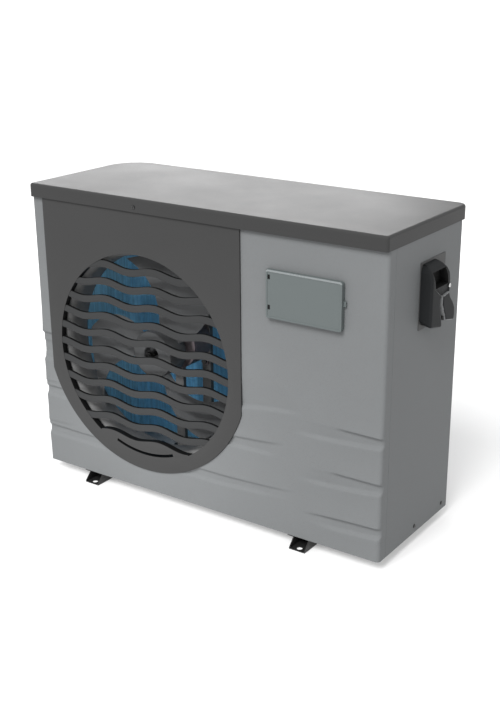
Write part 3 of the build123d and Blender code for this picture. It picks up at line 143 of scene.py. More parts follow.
def feed(tree, socket, value):
    """Links an output socket to an input, or gives the input a plain value."""
    if isinstance(value, bpy.types.NodeSocket):
        tree.links.new(value, socket)
    else:
        socket.default_value = value


def link_node(tree, kind, **inputs):
    """New shader node; inputs are values or output sockets, with _ for a space in their names."""
    made = tree.nodes.new(kind)
    for key, value in inputs.items():
        feed(tree, made.inputs[key.replace("_", " ")], value)
    return made


def noise(tree, place, scale, detail, roughness):
    """Height of a noise texture at a place, from 0 to 1."""
    made = link_node(
        tree, "ShaderNodeTexNoise", Vector=place, Scale=scale, Detail=detail, Roughness=roughness,
    )
    return made.outputs["Fac"]


def ramp(tree, factor, stops):
    """Colour ramp through (position, colour) stops."""
    made = link_node(tree, "ShaderNodeValToRGB", Fac=factor)
    elements = made.color_ramp.elements
    for element, (position, colour) in zip(elements, stops):
        element.position = position
        element.color = colour
    return made.outputs["Color"]


def mix(tree, factor, first, second):
    """Colour that goes from first to second as factor goes from 0 to 1, and no further."""
    made = tree.nodes.new("ShaderNodeMix")
    made.data_type = "RGBA"
    made.clamp_factor = True
    for index, value in ((MIX_FACTOR, factor), (MIX_FIRST, first), (MIX_SECOND, second)):
        feed(tree, made.inputs[index], value)
    return made.outputs[MIX_RESULT]


def finish(
    name, colour, rough, spread=0.06, cloud=5.0, grain=900.0, depth=0.05 * MM, rough_spread=0.08,
    stretch=(1, 1, 1), metallic=0.0, coat=0.0, specular=0.5, speck=None, side_shade_colour=None, glow=0.0,
):
    """Moulded or painted surface: clouds in its colour and gloss, fine grain in its relief.

    speck dots the grain with a second colour, side_shade_colour is painted shade that takes over on
    faces that don't look up, and glow gives off a share of the colour as light.
    """
    material = bpy.data.materials.new(name)
    material.use_nodes = True
    tree = material.node_tree
    place = link_node(tree, "ShaderNodeTexCoord").outputs["Object"]
    place = link_node(tree, "ShaderNodeMapping", Vector=place, Scale=stretch).outputs["Vector"]
    clouds = noise(tree, place, cloud, CLOUD_DETAIL, CLOUD_ROUGHNESS)
    grains = noise(tree, place, grain, GRAIN_DETAIL, GRAIN_ROUGHNESS)
    tone = ramp(tree, clouds, zip(CLOUD_STOPS, (shaded(colour, -spread), shaded(colour, spread))))
    if speck:
        tone = mix(tree, ramp(tree, grains, zip(SPECK_STOPS, (BLACK, WHITE))), tone, speck)
    # Painted shade: faces that turn away from the light above take the darker side colour.
    if side_shade_colour:
        facing = link_node(tree, "ShaderNodeTexCoord").outputs["Normal"]
        upward = link_node(tree, "ShaderNodeSeparateXYZ", Vector=facing).outputs["Z"]
        tone = mix(tree, upward, side_shade_colour, tone)
    gloss = link_node(
        tree, "ShaderNodeMapRange", Value=clouds,
        To_Min=max(LEAST_ROUGHNESS, rough - rough_spread), To_Max=min(1.0, rough + rough_spread),
    )
    relief = link_node(tree, "ShaderNodeBump", Height=grains, Distance=depth, Strength=GRAIN_STRENGTH)
    shader = tree.nodes["Principled BSDF"].inputs
    feed(tree, shader["Base Color"], tone)
    feed(tree, shader["Roughness"], gloss.outputs["Result"])
    feed(tree, shader["Normal"], relief.outputs["Normal"])
    feed(tree, shader["Metallic"], metallic)
    feed(tree, shader["Coat Weight"], coat)
    feed(tree, shader["Coat Roughness"], COAT_ROUGHNESS)
    feed(tree, shader["Specular IOR Level"], specular)
    if glow:
        feed(tree, shader["Emission Color"], tone)
        feed(tree, shader["Emission Strength"], glow)
    return material


def brushed(name, colour, rough, along, spread=0.1):
    """Drawn or rolled metal with fine lines across one direction."""
    return finish(
        name, colour, rough, spread=spread, cloud=14.0, grain=260.0, depth=0.03 * MM,
        rough_spread=0.1, stretch=along, metallic=1.0,
    )


looks = {
    # casing
    "panel_grey": finish(
        "casing_moulding", rgb(105, 107, 108), 0.6,
        spread=0.025, grain=1100.0, speck=grey(95), specular=0.12,
    ),
    "grille_grey": finish("grille_moulding", grey(55), 0.6, spread=0.03, grain=1100.0, specular=0.15),
    # Painted shade: the lid's sides are a little darker than its top.
    "lid_grey": finish(
        "lid_moulding", grey(56), 0.42, spread=0.03, specular=0.15, side_shade_colour=grey(52),
    ),
    "door_grey": finish("door_moulding", rgb(85, 91, 91), 0.4, spread=0.02, specular=0.3),
    "hood_black": finish(
        "hood_moulding", grey(31, -1), 0.5, spread=0.08, grain=1400.0, specular=0.08,
    ),
    "pan_steel": finish("pan_paint", grey(140), 0.4, spread=0.06),
    "foot_black": finish(
        "foot_powder_coat", grey(30), 0.45, spread=0.1, grain=700.0, depth=0.1 * MM,
    ),
    "guard_wire": finish("guard_dip_coat", grey(46), 0.4, spread=0.1),
    "zinc_steel": finish("zinc_sheet", grey(104), 0.55, spread=0.08, cloud=40.0, specular=0.3),
    "fastener": brushed("zinc_plate", grey(84), 0.4, along=(8, 8, 8)),
    "bright_fastener": brushed("stainless", grey(214), 0.2, along=(8, 8, 8), spread=0.05),
    # fan, motor and coil
    "fan_black": finish(
        "fan_moulding", rgb(76, 77, 78), 0.45, spread=0.08, grain=700.0, specular=0.3,
    ),
    "motor_grey": finish("motor_enamel", rgb(116, 106, 110), 0.45, spread=0.1),
    "copper": brushed("copper_tube", rgb(198, 122, 84), 0.3, along=(3, 3, 3), spread=0.22),
    "laminations": brushed("lamination_stack", grey(110), 0.5, along=(1, 300, 1)),
    # Painted light: the blue coating glows a little, in place of the light let through between the fins.
    "blue_fins": finish(
        "fin_coating", rgb(138, 194, 220), 0.35,
        spread=0.3, cloud=14.0, stretch=(14, 14, 0.8), glow=0.045,
    ),
    # refrigerant and water side
    "black_enamel": finish("black_enamel", grey(40), 0.35, spread=0.15),
    "valve_brass": brushed("brass", rgb(196, 168, 96), 0.3, along=(6, 6, 6)),
    "rubber": finish("rubber", grey(34), 0.75, spread=0.15, grain=500.0),
    "pvc_grey": finish("grey_pvc", rgb(92, 96, 102), 0.35, spread=0.05),
    "pvc_white": finish("white_pvc", grey(222, 2), 0.3, spread=0.03),
    # electrics and controller
    "board_green": finish("solder_resist", rgb(24, 92, 52), 0.3, spread=0.2, cloud=60.0),
    "part_black": finish("component_bodies", grey(44), 0.5, spread=0.12),
    "terminal_white": finish("polyamide", grey(206, 3), 0.5, spread=0.05),
    "bezel_black": finish("bezel_moulding", grey(42), 0.5, spread=0.08),
    "key_rubber": finish("key_silicone", grey(128), 0.6, spread=0.05),
    "lens_dark": finish("display_window", rgb(18, 30, 30), 0.1, spread=0.1, coat=0.5),
    # looks that no slot of the record has
    "plate_grey": finish("cable_plate_paint", grey(66), 0.5, spread=0.05, specular=0.2),
    # Painted highlight: a light grey along the hood's edges, where they catch the light.
    "hood_rim": finish(
        "hood_worn_edges", grey(112, -1), 0.45, spread=0.15, cloud=60.0, specular=0.3,
    ),
    # Painted shade: near-black for the walls of the grille's opening and slots, the ring behind the grille and the
    # floor of the hood's window, where shade falls.
    "slot_black": finish("slot_walls", grey(14), 0.7, spread=0.12, specular=0.2),
    # Painted highlight: a lighter, glossier copy of the cover's colour, on the top of its bead only.
    "door_edge": finish("door_edges", rgb(112, 117, 118), 0.28, spread=0.04, specular=0.9),
    # Painted shade: the bars are one moulding with the grille plate, but take a darker copy of its grey.
    "bar_grey": finish(
        "bar_moulding", grey(48, -0.5), 0.6, spread=0.03, grain=1100.0, specular=0.15,
    ),
}


def dress_cad_nodes():
    """Gives every carried-over CAD node the look of its slot in the record."""
    for part in frame["record"]["subparts"]:
        mesh = nodes[part["node"]].data
        mesh.materials.clear()
        mesh.materials.append(looks[part["material_slot"]])
    nodes["cable_plate"].data.materials[0] = looks["plate_grey"]


# ---------------------------------------------------------------- making pieces

SMOOTH_ANGLE = 35.0
CUT_REACH = 50 * MM


def shade(mesh, smooth_angle=SMOOTH_ANGLE):
    """Shades smooth, except over edges sharper than smooth_angle degrees."""
    mesh.polygons.foreach_set("use_smooth", [True] * len(mesh.polygons))
    mesh.set_sharp_from_angle(angle=radians(smooth_angle))


def build_object(name, mesh, materials, smooth_angle=SMOOTH_ANGLE):
    """Object of a mesh, with its looks in the order of the mesh's material numbers."""
    made = bpy.data.objects.new(name, mesh)
    bpy.context.scene.collection.objects.link(made)
    for material in materials:
        mesh.materials.append(looks[material])
    shade(mesh, smooth_angle)
    return made


def from_bmesh(name, shape, materials, smooth_angle=SMOOTH_ANGLE):
    """Object of a bmesh, with its faces turned outward; the bmesh is used up."""
    bmesh.ops.recalc_face_normals(shape, faces=shape.faces)
    mesh = bpy.data.meshes.new(name)
    shape.to_mesh(mesh)
    shape.free()
    return build_object(name, mesh, materials, smooth_angle)


def settle(made):
    """Applies the modifiers, so that the piece is one plain mesh."""
    depsgraph = bpy.context.evaluated_depsgraph_get()
    mesh = bpy.data.meshes.new_from_object(made.evaluated_get(depsgraph))
    made.modifiers.clear()
    old = made.data
    made.data = mesh
    bpy.data.meshes.remove(old)
    mesh.name = made.name
    shade(mesh)


def place(made, body, slot, *replaced):
    """Puts a finished piece on its body and hides the CAD nodes it stands for; slot is not used."""
    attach(made, body)
    if replaced:
        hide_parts(*replaced)


def paint_walls(made, keep):
    """Gives the second material to the faces that keep refuses."""
    for face in made.data.polygons:
        if not keep(face):
            face.material_index = 1


def sheet_faces(shape, rows):
    """Quads between successive open rows of vertices."""
    for near, far in zip(rows, rows[1:]):
        for i in range(len(near) - 1):
            shape.faces.new((near[i], near[i + 1], far[i + 1], far[i]))


def band(shape, near, far):
    """Quads between two closed rings of vertices, in the order of the rings."""
    faces = []
    for i in range(len(near)):
        j = (i + 1) % len(near)
        faces.append(shape.faces.new((near[i], near[j], far[j], far[i])))
    return faces


def lathe(name, profile, materials, turns):
    """Ring about the fan's axis, turned from a closed profile of (radius, y) points."""
    shape = bmesh.new()
    rings = []
    for k in range(turns):
        a = tau * k / turns
        places = [(FAN_X + r * cos(a), y, FAN_Z + r * sin(a)) for r, y in profile]
        rings.append([shape.verts.new(point) for point in places])
    for near, far in zip(rings, rings[1:] + rings[:1]):
        band(shape, near, far)
    return from_bmesh(name, shape, materials)


def cut_front(made, outline):
    """Cuts a closed outline of (x, z) points through a piece in the front face."""
    shape = bmesh.new()
    ends = []
    for y in (FRONT - CUT_REACH, FRONT + CUT_REACH):
        ends.append([shape.verts.new((x, y, z)) for x, z in outline])
    for end in ends:
        shape.faces.new(end)
    band(shape, *ends)
    cutter = from_bmesh("cutter", shape, [])
    change = made.modifiers.new("cut", "BOOLEAN")
    change.operation = "DIFFERENCE"
    change.solver = "EXACT"
    change.object = cutter
    bpy.context.view_layer.update()
    settle(made)
    mesh = cutter.data
    bpy.data.objects.remove(cutter)
    bpy.data.meshes.remove(mesh)


def fan_circle(radius, count):
    """Points round a circle about the fan's axis."""
    angles = [tau * k / count for k in range(count)]
    return [(FAN_X + radius * cos(a), FAN_Z + radius * sin(a)) for a in angles]


def corner_arc(centre_x, centre_y, radius, start, count):
    """Points of a quarter turn, from the start angle on."""
    angles = [start + pi / 2 * k / count for k in range(count + 1)]
    return [(centre_x + radius * cos(a), centre_y + radius * sin(a)) for a in angles]


# ---------------------------------------------------------------- front panel with its fading waves

RECESS_DEPTH = 5 * MM
BULGE = 3.4 * MM
LOWER_BULGE_SHARE = 0.6
UPPER_EDGE, LOWER_EDGE = 9 * MM, 12 * MM
# Away from a wave its swell shrinks by FADE over each of these lengths, above and below.
FADE = 2.718
UPPER_FADE, LOWER_FADE = 32 * MM, 24 * MM
# An edge rises evenly from this share of its height at its start to all of it at its deep end, and
# is faded in over the first third of its length.
START_RISE = 0.65
# Each wave: x where its upper and its lower edge begin, x where it is deepest, z of the upper edge
# and of the lower edge at its start and at its deep end, and its share of the full depth.
WAVES = (
    (0.395, 0.290, 0.523, (0.329, 0.328), (0.285, 0.298), 1.0),
    (0.380, 0.300, 0.523, (0.216, 0.219), (0.173, 0.188), 1.0),
    (0.312, 0.360, 0.523, (0.095, 0.111), (0.069, 0.079), 1.0),
    (0.131, 0.330, 0.130, (0.400, 0.390), (0.330, 0.309), 0.8),
    (0.280, 0.250, 0.120, (0.261, 0.242), (0.212, 0.209), 0.6),
    (0.310, 0.250, 0.090, (0.147, 0.131), (0.108, 0.098), 0.6),
    (-0.400, -0.400, -0.477, (0.372, 0.366), (0.330, 0.322), 0.3),
    (-0.400, -0.400, -0.477, (0.262, 0.256), (0.222, 0.214), 0.3),
    (-0.380, -0.380, -0.477, (0.150, 0.144), (0.112, 0.104), 0.3),
)
# The mesh is finer right of FINE_X and below FINE_Z, where the waves are.
FINE_X, FINE_Z = 60 * MM, 480 * MM
HOLE_MARGIN = 4 * MM
WINDOW_HALF = 86 * MM, 46 * MM


def growth(x, start, deep):
    """How far an edge has come out of the flat face, from 0 at its start to 1 where it is deepest."""
    along = (x - start) / (deep - start)
    return smoothstep(3 * along) * lerp(START_RISE, 1, min(1.0, along)) if along > 0 else 0.0


def wave_depth(x, z):
    """How far the front face lies behind its flat plane; negative where it swells out."""
    total = 0.0
    for upper_from, lower_from, deep, upper, lower, share in WAVES:
        upper_grown, lower_grown = growth(x, upper_from, deep), growth(x, lower_from, deep)
        if upper_grown + lower_grown == 0:
            continue
        begin = max(upper_from, lower_from, key=lambda start: abs(start - deep))
        along = clamp((x - begin) / (deep - begin))
        upper_z = lerp(*upper, sqrt(along))
        lower_z = lerp(*lower, along * along)
        upper_bulge = BULGE * upper_grown
        lower_bulge = BULGE * LOWER_BULGE_SHARE * lower_grown
        if z > upper_z:
            total -= share * upper_bulge * FADE ** ((upper_z - z) / UPPER_FADE)
        elif z < lower_z:
            total -= share * lower_bulge * FADE ** ((z - lower_z) / LOWER_FADE)
        else:
            across = (z - lower_z) / (upper_z - lower_z)
            from_top = smoothstep((upper_z - z) / UPPER_EDGE)
            from_low = smoothstep((z - lower_z) / LOWER_EDGE)
            inside = RECESS_DEPTH * lerp(lower_grown, upper_grown, across)
            rims = upper_bulge * (1 - from_top) + lower_bulge * (1 - from_low)
            total += share * (inside * from_top * from_low - rims)
    return total


def front_plan():
    """The panel seen from above, from the left seam round both front corners to the right seam."""
    left_end, right_end = LEFT + FRONT_LEFT_R, RIGHT - FRONT_RIGHT_R
    plan = [(LEFT, y) for y in spaced(SEAM_Y, FRONT + FRONT_LEFT_R, 3 * MM)]
    plan += corner_arc(left_end, FRONT + FRONT_LEFT_R, FRONT_LEFT_R, pi, 8)
    plan += [(x, FRONT) for x in spaced(left_end + 5 * MM, FINE_X, 10 * MM)]
    plan += [(x, FRONT) for x in spaced(FINE_X, right_end, 4.5 * MM)]
    plan += corner_arc(right_end, FRONT + FRONT_RIGHT_R, FRONT_RIGHT_R, -pi / 2, 12)
    plan += [(RIGHT, y) for y in spaced(FRONT + FRONT_RIGHT_R + 2 * MM, SEAM_Y, 2 * MM)]
    return plan + [(RIGHT, SEAM_Y)]


def controller_window():
    """Outline of the hole in the front panel that the controller sits in."""
    lens_low, lens_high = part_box("display_lens")
    door_low, door_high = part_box("controller_door")
    x, z = (lens_low.x + lens_high.x) / 2, (door_low.z + door_high.z) / 2
    half_x, half_z = WINDOW_HALF
    return [
        (x - half_x, z - half_z), (x + half_x, z - half_z),
        (x + half_x, z + half_z), (x - half_x, z + half_z),
    ]


def make_front_panel():
    """Moulded front panel, open behind the grille and the controller."""
    plan = front_plan()
    side_run = SEAM_Y - FRONT - FRONT_RIGHT_R
    shape = bmesh.new()
    rows = []
    for z in spaced(LOW, FINE_Z, 2 * MM) + spaced(FINE_Z, TOP, 16 * MM) + [TOP]:
        row = []
        for x, y in plan:
            inward = wave_depth(x, z) * min(1.0, (SEAM_Y - y) / side_run)
            row.append(shape.verts.new((x, y + inward, z)))
        rows.append(row)
    sheet_faces(shape, rows)
    panel = from_bmesh("front_panel_skin", shape, ["panel_grey"])
    middle_face = panel.data.polygons[len(panel.data.polygons) // 2]
    thick = panel.modifiers.new("thick", "SOLIDIFY")
    thick.thickness = PANEL_T
    thick.offset = -1.0 if middle_face.normal.y < 0 else 1.0
    settle(panel)
    cut_front(panel, fan_circle(GRILLE_R + HOLE_MARGIN, 160))
    cut_front(panel, controller_window())
    place(panel, "casing", "panel_grey", "front_panel")


# ---------------------------------------------------------------- grille

PLATE_FACE, PLATE_BACK = grille_low.y, FRONT
PLATE_BEVEL = 0.9 * MM
RING_BACK = grille_high.y
RING_BEVEL, RING_MARGIN = 0.4 * MM, 3 * MM
# Faces of the plate are walls of its opening, painted near-black as shade, if they lie within
# WALL_MARGIN of its rim and their normal's y is above FRONT_FACING.
WALL_MARGIN, FRONT_FACING = 6 * MM, -0.35
# The plate's round foot, and the thin slit in it.
ARC_R = 313 * MM
ARC_Z = 394 * MM
SLIT_OUTER, SLIT_INNER = 253 * MM, 246 * MM
SLIT_ENDS = 249, 291

BAR_DEPTH = 7 * MM
BAR_CROWN, BAR_LEAN = 1.4 * MM, 0.6 * MM
BAR_FACE_STEPS = 8
BAR_SET_BACK = 2.4 * MM
BAR_STEP, BAR_MARGIN = 4 * MM, 2 * MM


def wave_at(x):
    """Height of the bars' wave at x."""
    return WAVE_HEIGHT * cos(tau * (x - WAVE_CREST_X) / WAVE_PITCH)


def plate_outline():
    """Square above, and rounded below about a point on the fan's plumb line."""
    half = (grille_high.x - grille_low.x) / 2
    top = grille_high.z
    spread = atan2(half, sqrt(ARC_R**2 - half**2))
    angles = [lerp(-spread, spread, k / 72) for k in range(73)]
    arc = [(FAN_X + ARC_R * sin(a), ARC_Z - ARC_R * cos(a)) for a in angles]
    return arc + [(FAN_X + half, top), (FAN_X - half, top)]


def opening_outline():
    """The round opening that the bars cross, closed below by the last wave."""
    sill = SLOT_TOP_Z - (SLOT_ROWS - 1) * SLOT_PITCH
    reach = sqrt(GRILLE_R**2 - (FAN_Z - sill) ** 2)
    floor_xs = [lerp(-reach, reach, k / 60) for k in range(61)]
    inside = [(FAN_X + x, sill + wave_at(FAN_X + x)) for x in floor_xs]
    inside = [(x, z) for x, z in inside if hypot(x - FAN_X, z - FAN_Z) < GRILLE_R - 1 * MM]
    first = atan2(inside[0][1] - FAN_Z, inside[0][0] - FAN_X)
    last = atan2(inside[-1][1] - FAN_Z, inside[-1][0] - FAN_X)
    sweep = (first - last) % tau
    arc = [last + sweep * k / 150 for k in range(151)]
    return inside + [(FAN_X + GRILLE_R * cos(a), FAN_Z + GRILLE_R * sin(a)) for a in arc]


def slit_outline():
    """Thin arc-shaped slit in the foot of the plate, below the opening."""
    angles = [radians(lerp(*SLIT_ENDS, k / 30)) for k in range(31)]
    outer = [(FAN_X + SLIT_OUTER * cos(a), FAN_Z + SLIT_OUTER * sin(a)) for a in angles]
    inner = [(FAN_X + SLIT_INNER * cos(a), FAN_Z + SLIT_INNER * sin(a)) for a in reversed(angles)]
    return outer + inner


def curve_plate(name, outlines, front, back, bevel, materials):
    """Flat plate with holes, its edges rounded by bevel, standing across the Y axis."""
    data = bpy.data.curves.new(name, "CURVE")
    data.dimensions = "2D"
    data.fill_mode = "BOTH"
    for outline in outlines:
        spline = data.splines.new("POLY")
        spline.points.add(len(outline) - 1)
        for point, (x, z) in zip(spline.points, outline):
            point.co = (x, z, 0, 1)
        spline.use_cyclic_u = True
    data.extrude = (back - front) / 2 - bevel
    data.bevel_depth = bevel
    data.bevel_resolution = 2
    data.offset = -bevel
    holder = bpy.data.objects.new(name, data)
    bpy.context.scene.collection.objects.link(holder)
    bpy.context.view_layer.update()
    depsgraph = bpy.context.evaluated_depsgraph_get()
    mesh = bpy.data.meshes.new_from_object(holder.evaluated_get(depsgraph))
    bpy.data.objects.remove(holder)
    bpy.data.curves.remove(data)
    mesh.transform(Matrix.Translation((0, (front + back) / 2, 0)) @ Matrix.Rotation(pi / 2, 4, "X"))
    shape = bmesh.new()
    shape.from_mesh(mesh)
    bmesh.ops.remove_doubles(shape, verts=shape.verts, dist=0.01 * MM)
    bmesh.ops.recalc_face_normals(shape, faces=shape.faces)
    shape.to_mesh(mesh)
    shape.free()
    return build_object(name, mesh, materials)


def make_grille():
    """Plate with its round opening, a ring behind it painted near-black as shade, and the bars across it."""
    plate = curve_plate(
        "grille_plate", [plate_outline(), opening_outline(), slit_outline()],
        PLATE_FACE, PLATE_BACK, PLATE_BEVEL, ["grille_grey", "slot_black"],
    )

    def is_outside(face):
        x, _, z = face.center
        return face.normal.y < FRONT_FACING or hypot(x - FAN_X, z - FAN_Z) > GRILLE_R + WALL_MARGIN

    # The opening's walls take the painted shade.
    paint_walls(plate, is_outside)
    place(plate, "casing", "grille_grey", "fan_panel")
    # The ring behind the plate is all painted shade.
    ring_outer = fan_circle(GRILLE_R + RING_MARGIN, 160)
    back_ring = curve_plate(
        "grille_back_ring", [ring_outer, opening_outline(), slit_outline()],
        PLATE_BACK, RING_BACK, RING_BEVEL, ["slot_black"],
    )
    place(back_ring, "casing", "grille_grey")
    for row in range(SLOT_ROWS - 1):
        make_bar(row)


def make_bar(row):
    """One wavy bar, crowned and leaning up a little: its face painted a shade darker than the grille, its walls
    behind painted near-black as shade.
    """
    height = SLOT_PITCH - SLOT_HEIGHT
    top = SLOT_TOP_Z - row * SLOT_PITCH
    profile = []
    for k in range(BAR_FACE_STEPS + 1):
        t = k / BAR_FACE_STEPS
        crown = BAR_CROWN * sqrt(max(0.0, 1 - (2 * t - 1) ** 2))
        profile.append((height * t, -crown - BAR_LEAN * (1 - t)))
    profile += [(height, BAR_DEPTH), (0, BAR_DEPTH)]
    nearest = max(0.0, min(abs(top - FAN_Z), abs(top - height - FAN_Z)) - WAVE_HEIGHT)
    reach = sqrt((GRILLE_R + BAR_MARGIN) ** 2 - nearest**2)
    count = max(16, int(2 * reach / BAR_STEP))
    shape = bmesh.new()
    rings = []
    face_y = PLATE_FACE + BAR_SET_BACK
    for k in range(count + 1):
        x = FAN_X + lerp(-reach, reach, k / count)
        z = top - height + wave_at(x)
        rings.append([shape.verts.new((x, face_y + dy, z + dz)) for dz, dy in profile])
    for near, far in zip(rings, rings[1:]):
        for i, face in enumerate(band(shape, near, far)):
            # The walls behind the bar's face take the painted shade.
            face.material_index = 0 if i < BAR_FACE_STEPS else 1
    shape.faces.new(rings[0])
    shape.faces.new(rings[-1])
    bar = from_bmesh(f"grille_bar_{row + 1:02d}", shape, ["bar_grey", "slot_black"])
    place(bar, "casing", "grille_grey")


# ---------------------------------------------------------------- controller cover

DOOR_LEFT, DOOR_WIDTH = 228 * MM, 193 * MM
DOOR_CORNER = 6 * MM
BEAD_WIDTH, BEAD_HEIGHT, BEAD_ROOT = 4.6 * MM, 1.2 * MM, 2 * MM
BEAD_ROUND = 1.3 * MM


def rounded_box(left, right, low, high, radius):
    """Closed outline of a rectangle with rounded corners."""
    left, right, low, high = left + radius, right - radius, low + radius, high - radius
    points = []
    for quarter, (x, z) in enumerate(((right, high), (left, high), (left, low), (right, low))):
        points += corner_arc(x, z, radius, quarter * pi / 2, 6)
    return points


def make_door_bead():
    """Rounded bead moulded round the face of the controller cover, with a painted highlight along its top."""
    low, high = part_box("controller_door")
    right = DOOR_LEFT + DOOR_WIDTH
    inner_low, inner_high = low.z + BEAD_WIDTH, high.z - BEAD_WIDTH
    bead = curve_plate(
        "controller_cover_bead",
        [
            rounded_box(DOOR_LEFT, right, low.z, high.z, DOOR_CORNER),
            rounded_box(
                DOOR_LEFT + BEAD_WIDTH, right - BEAD_WIDTH, inner_low, inner_high, DOOR_CORNER / 3,
            ),
        ],
        low.y - BEAD_HEIGHT, low.y + BEAD_ROOT, BEAD_ROUND, ["door_edge", "door_grey"],
    )
    # Only the top of the bead keeps the painted highlight; the rest takes the cover's colour.
    paint_walls(bead, lambda face: face.center.z > inner_high)
    place(bead, "door", "door_grey")


# ---------------------------------------------------------------- fan and shroud

FLANGE_OUTER_R, FLANGE_INNER_R = 294 * MM, 270 * MM
FLANGE_T = 2.4 * MM
THROAT_R = 251 * MM
BELL_R, BELL_LENGTH, BELL_SET_BACK = 17.5 * MM, 22 * MM, 11 * MM
# Points of the rolled rear lip: how far outside the throat, and y.
LIP = ((0 * MM, -100 * MM), (1.5 * MM, -96 * MM), (3 * MM, -95 * MM))
SHROUD_SKIN = 2.2 * MM, 0.6 * MM

HUB_R, HUB_RIM_R = 60 * MM, 56.5 * MM
HUB_REAR_RIM = 8 * MM
# The hub's profile as radius and distance behind the hub's front, in millimetres: the inside from
# the bore to the rear rim, and the outside from the rim over the dome back to the bore.
HUB_INSIDE = ((7, 30), (7, 38), (52, 40), (56, 46))
HUB_OUTSIDE = ((60, 16), (58, 9), (52, 6), (24, 5), (22, 7), (20, 26), (16, 30))

BLADE_ANGLES = 52, 172, 292
BLADE_ROOT_R, BLADE_TIP_R = 57 * MM, 244 * MM
BLADE_CHORDS = 62, 228
CHORD_POWER = 0.9
BLADE_PITCHES = 42, 19
BLADE_SWEEP = radians(30)
BLADE_CAMBER = 0.055
BLADE_T, BLADE_EDGE_T = 1.9 * MM, 0.35 * MM
BLADE_FLATTEN = 0.62
BLADE_FORWARD = 2 * MM
SPAN_STEPS, CHORD_STEPS = 20, 14


def make_shroud():
    """Thin bell-mouth ring that the fan turns in, with a rolled rear lip."""
    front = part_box("fan_shroud")[0].y
    skin_r, skin_y = SHROUD_SKIN
    line = []
    for k in range(13):
        a = pi / 2 * k / 12
        y = front + BELL_SET_BACK + BELL_LENGTH * (1 - cos(a))
        line.append((THROAT_R + BELL_R * (1 - sin(a)), y))
    line += [(THROAT_R + out, y) for out, y in LIP]
    back = [(r + skin_r, y + skin_y) for r, y in reversed(line)]
    flange = [(FLANGE_OUTER_R, front), (FLANGE_INNER_R, front)]
    profile = flange + line + back + [(FLANGE_OUTER_R, front + FLANGE_T)]
    ring = lathe("fan_shroud_bell", profile, ["zinc_steel"], 128)
    place(ring, "casing", "zinc_steel", "fan_shroud")


def make_fan():
    """Sickle-bladed impeller with a domed hub."""
    fan_low, fan_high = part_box("fan_impeller")
    shape = bmesh.new()
    for angle in BLADE_ANGLES:
        make_blade(shape, radians(angle), (fan_low.y + fan_high.y) / 2)
    blades = from_bmesh("fan_blades", shape, ["fan_black"], 50)
    place(blades, "fan", "fan_black", "fan_impeller")
    rear = fan_high.y - HUB_REAR_RIM
    profile = [(r * MM, fan_low.y + behind * MM) for r, behind in HUB_INSIDE]
    profile += [(HUB_RIM_R, rear), (HUB_R, rear)]
    profile += [(r * MM, fan_low.y + behind * MM) for r, behind in HUB_OUTSIDE]
    place(lathe("fan_hub", profile, ["fan_black"], 96), "fan", "fan_black")


def make_blade(shape, angle, mid_y):
    """One swept, twisted blade of aerofoil section, added to shape."""
    sections = []
    for i in range(SPAN_STEPS + 1):
        t = i / SPAN_STEPS
        radius = lerp(BLADE_ROOT_R, BLADE_TIP_R, t)
        chord = lerp(*BLADE_CHORDS, t**CHORD_POWER) * MM
        pitch = radians(lerp(*BLADE_PITCHES, t))
        lean = BLADE_SWEEP * t * t
        section = []
        for side in (1, -1):
            steps = range(CHORD_STEPS + 1) if side > 0 else range(CHORD_STEPS - 1, 0, -1)
            for k in steps:
                s = k / CHORD_STEPS - 0.5
                camber = BLADE_CAMBER * chord * (1 - 4 * s * s)
                thick = BLADE_T * sqrt(max(0.0, 1 - (2 * s) ** 2)) + BLADE_EDGE_T
                off = camber + side * thick / 2
                sideways = s * chord * cos(pitch) - off * sin(pitch)
                y = mid_y + s * chord * sin(pitch) * BLADE_FLATTEN + off * cos(pitch) - BLADE_FORWARD
                a = angle + lean - sideways / radius
                point = FAN_X + radius * cos(a), y, FAN_Z + radius * sin(a)
                section.append(shape.verts.new(point))
        sections.append(section)
    for near, far in zip(sections, sections[1:]):
        band(shape, near, far)
    shape.faces.new(sections[0])
    shape.faces.new(sections[-1])
    bmesh.ops.recalc_face_normals(shape, faces=shape.faces)


# ---------------------------------------------------------------- evaporator

COIL_T = 30 * MM
COIL_BEND_R = 57 * MM
FIN_PITCH = 2.4 * MM
FIN_HALF_T = 0.16 * MM
FIN_RIPPLE, FIN_JITTER = 0.9 * MM, 0.25
FIN_STEPS = 8


def coil_places():
    """Centre and outward direction of each fin along the L, from the rear end round to the front."""
    rear_y = coil_high.y - COIL_T / 2
    left_x = coil_low.x + COIL_T / 2
    bend_x, bend_y = left_x + COIL_BEND_R, rear_y - COIL_BEND_R
    places = [((x, rear_y), (0.0, 1.0)) for x in spaced(coil_high.x - FIN_PITCH, bend_x, FIN_PITCH)]
    for a in spaced(pi / 2, pi, FIN_PITCH / COIL_BEND_R):
        out_x, out_y = cos(a), sin(a)
        places.append(((bend_x + COIL_BEND_R * out_x, bend_y + COIL_BEND_R * out_y), (out_x, out_y)))
    front_y = coil_low.y + FIN_PITCH / 2
    return places + [((left_x, y), (-1.0, 0.0)) for y in spaced(bend_y, front_y, FIN_PITCH)]


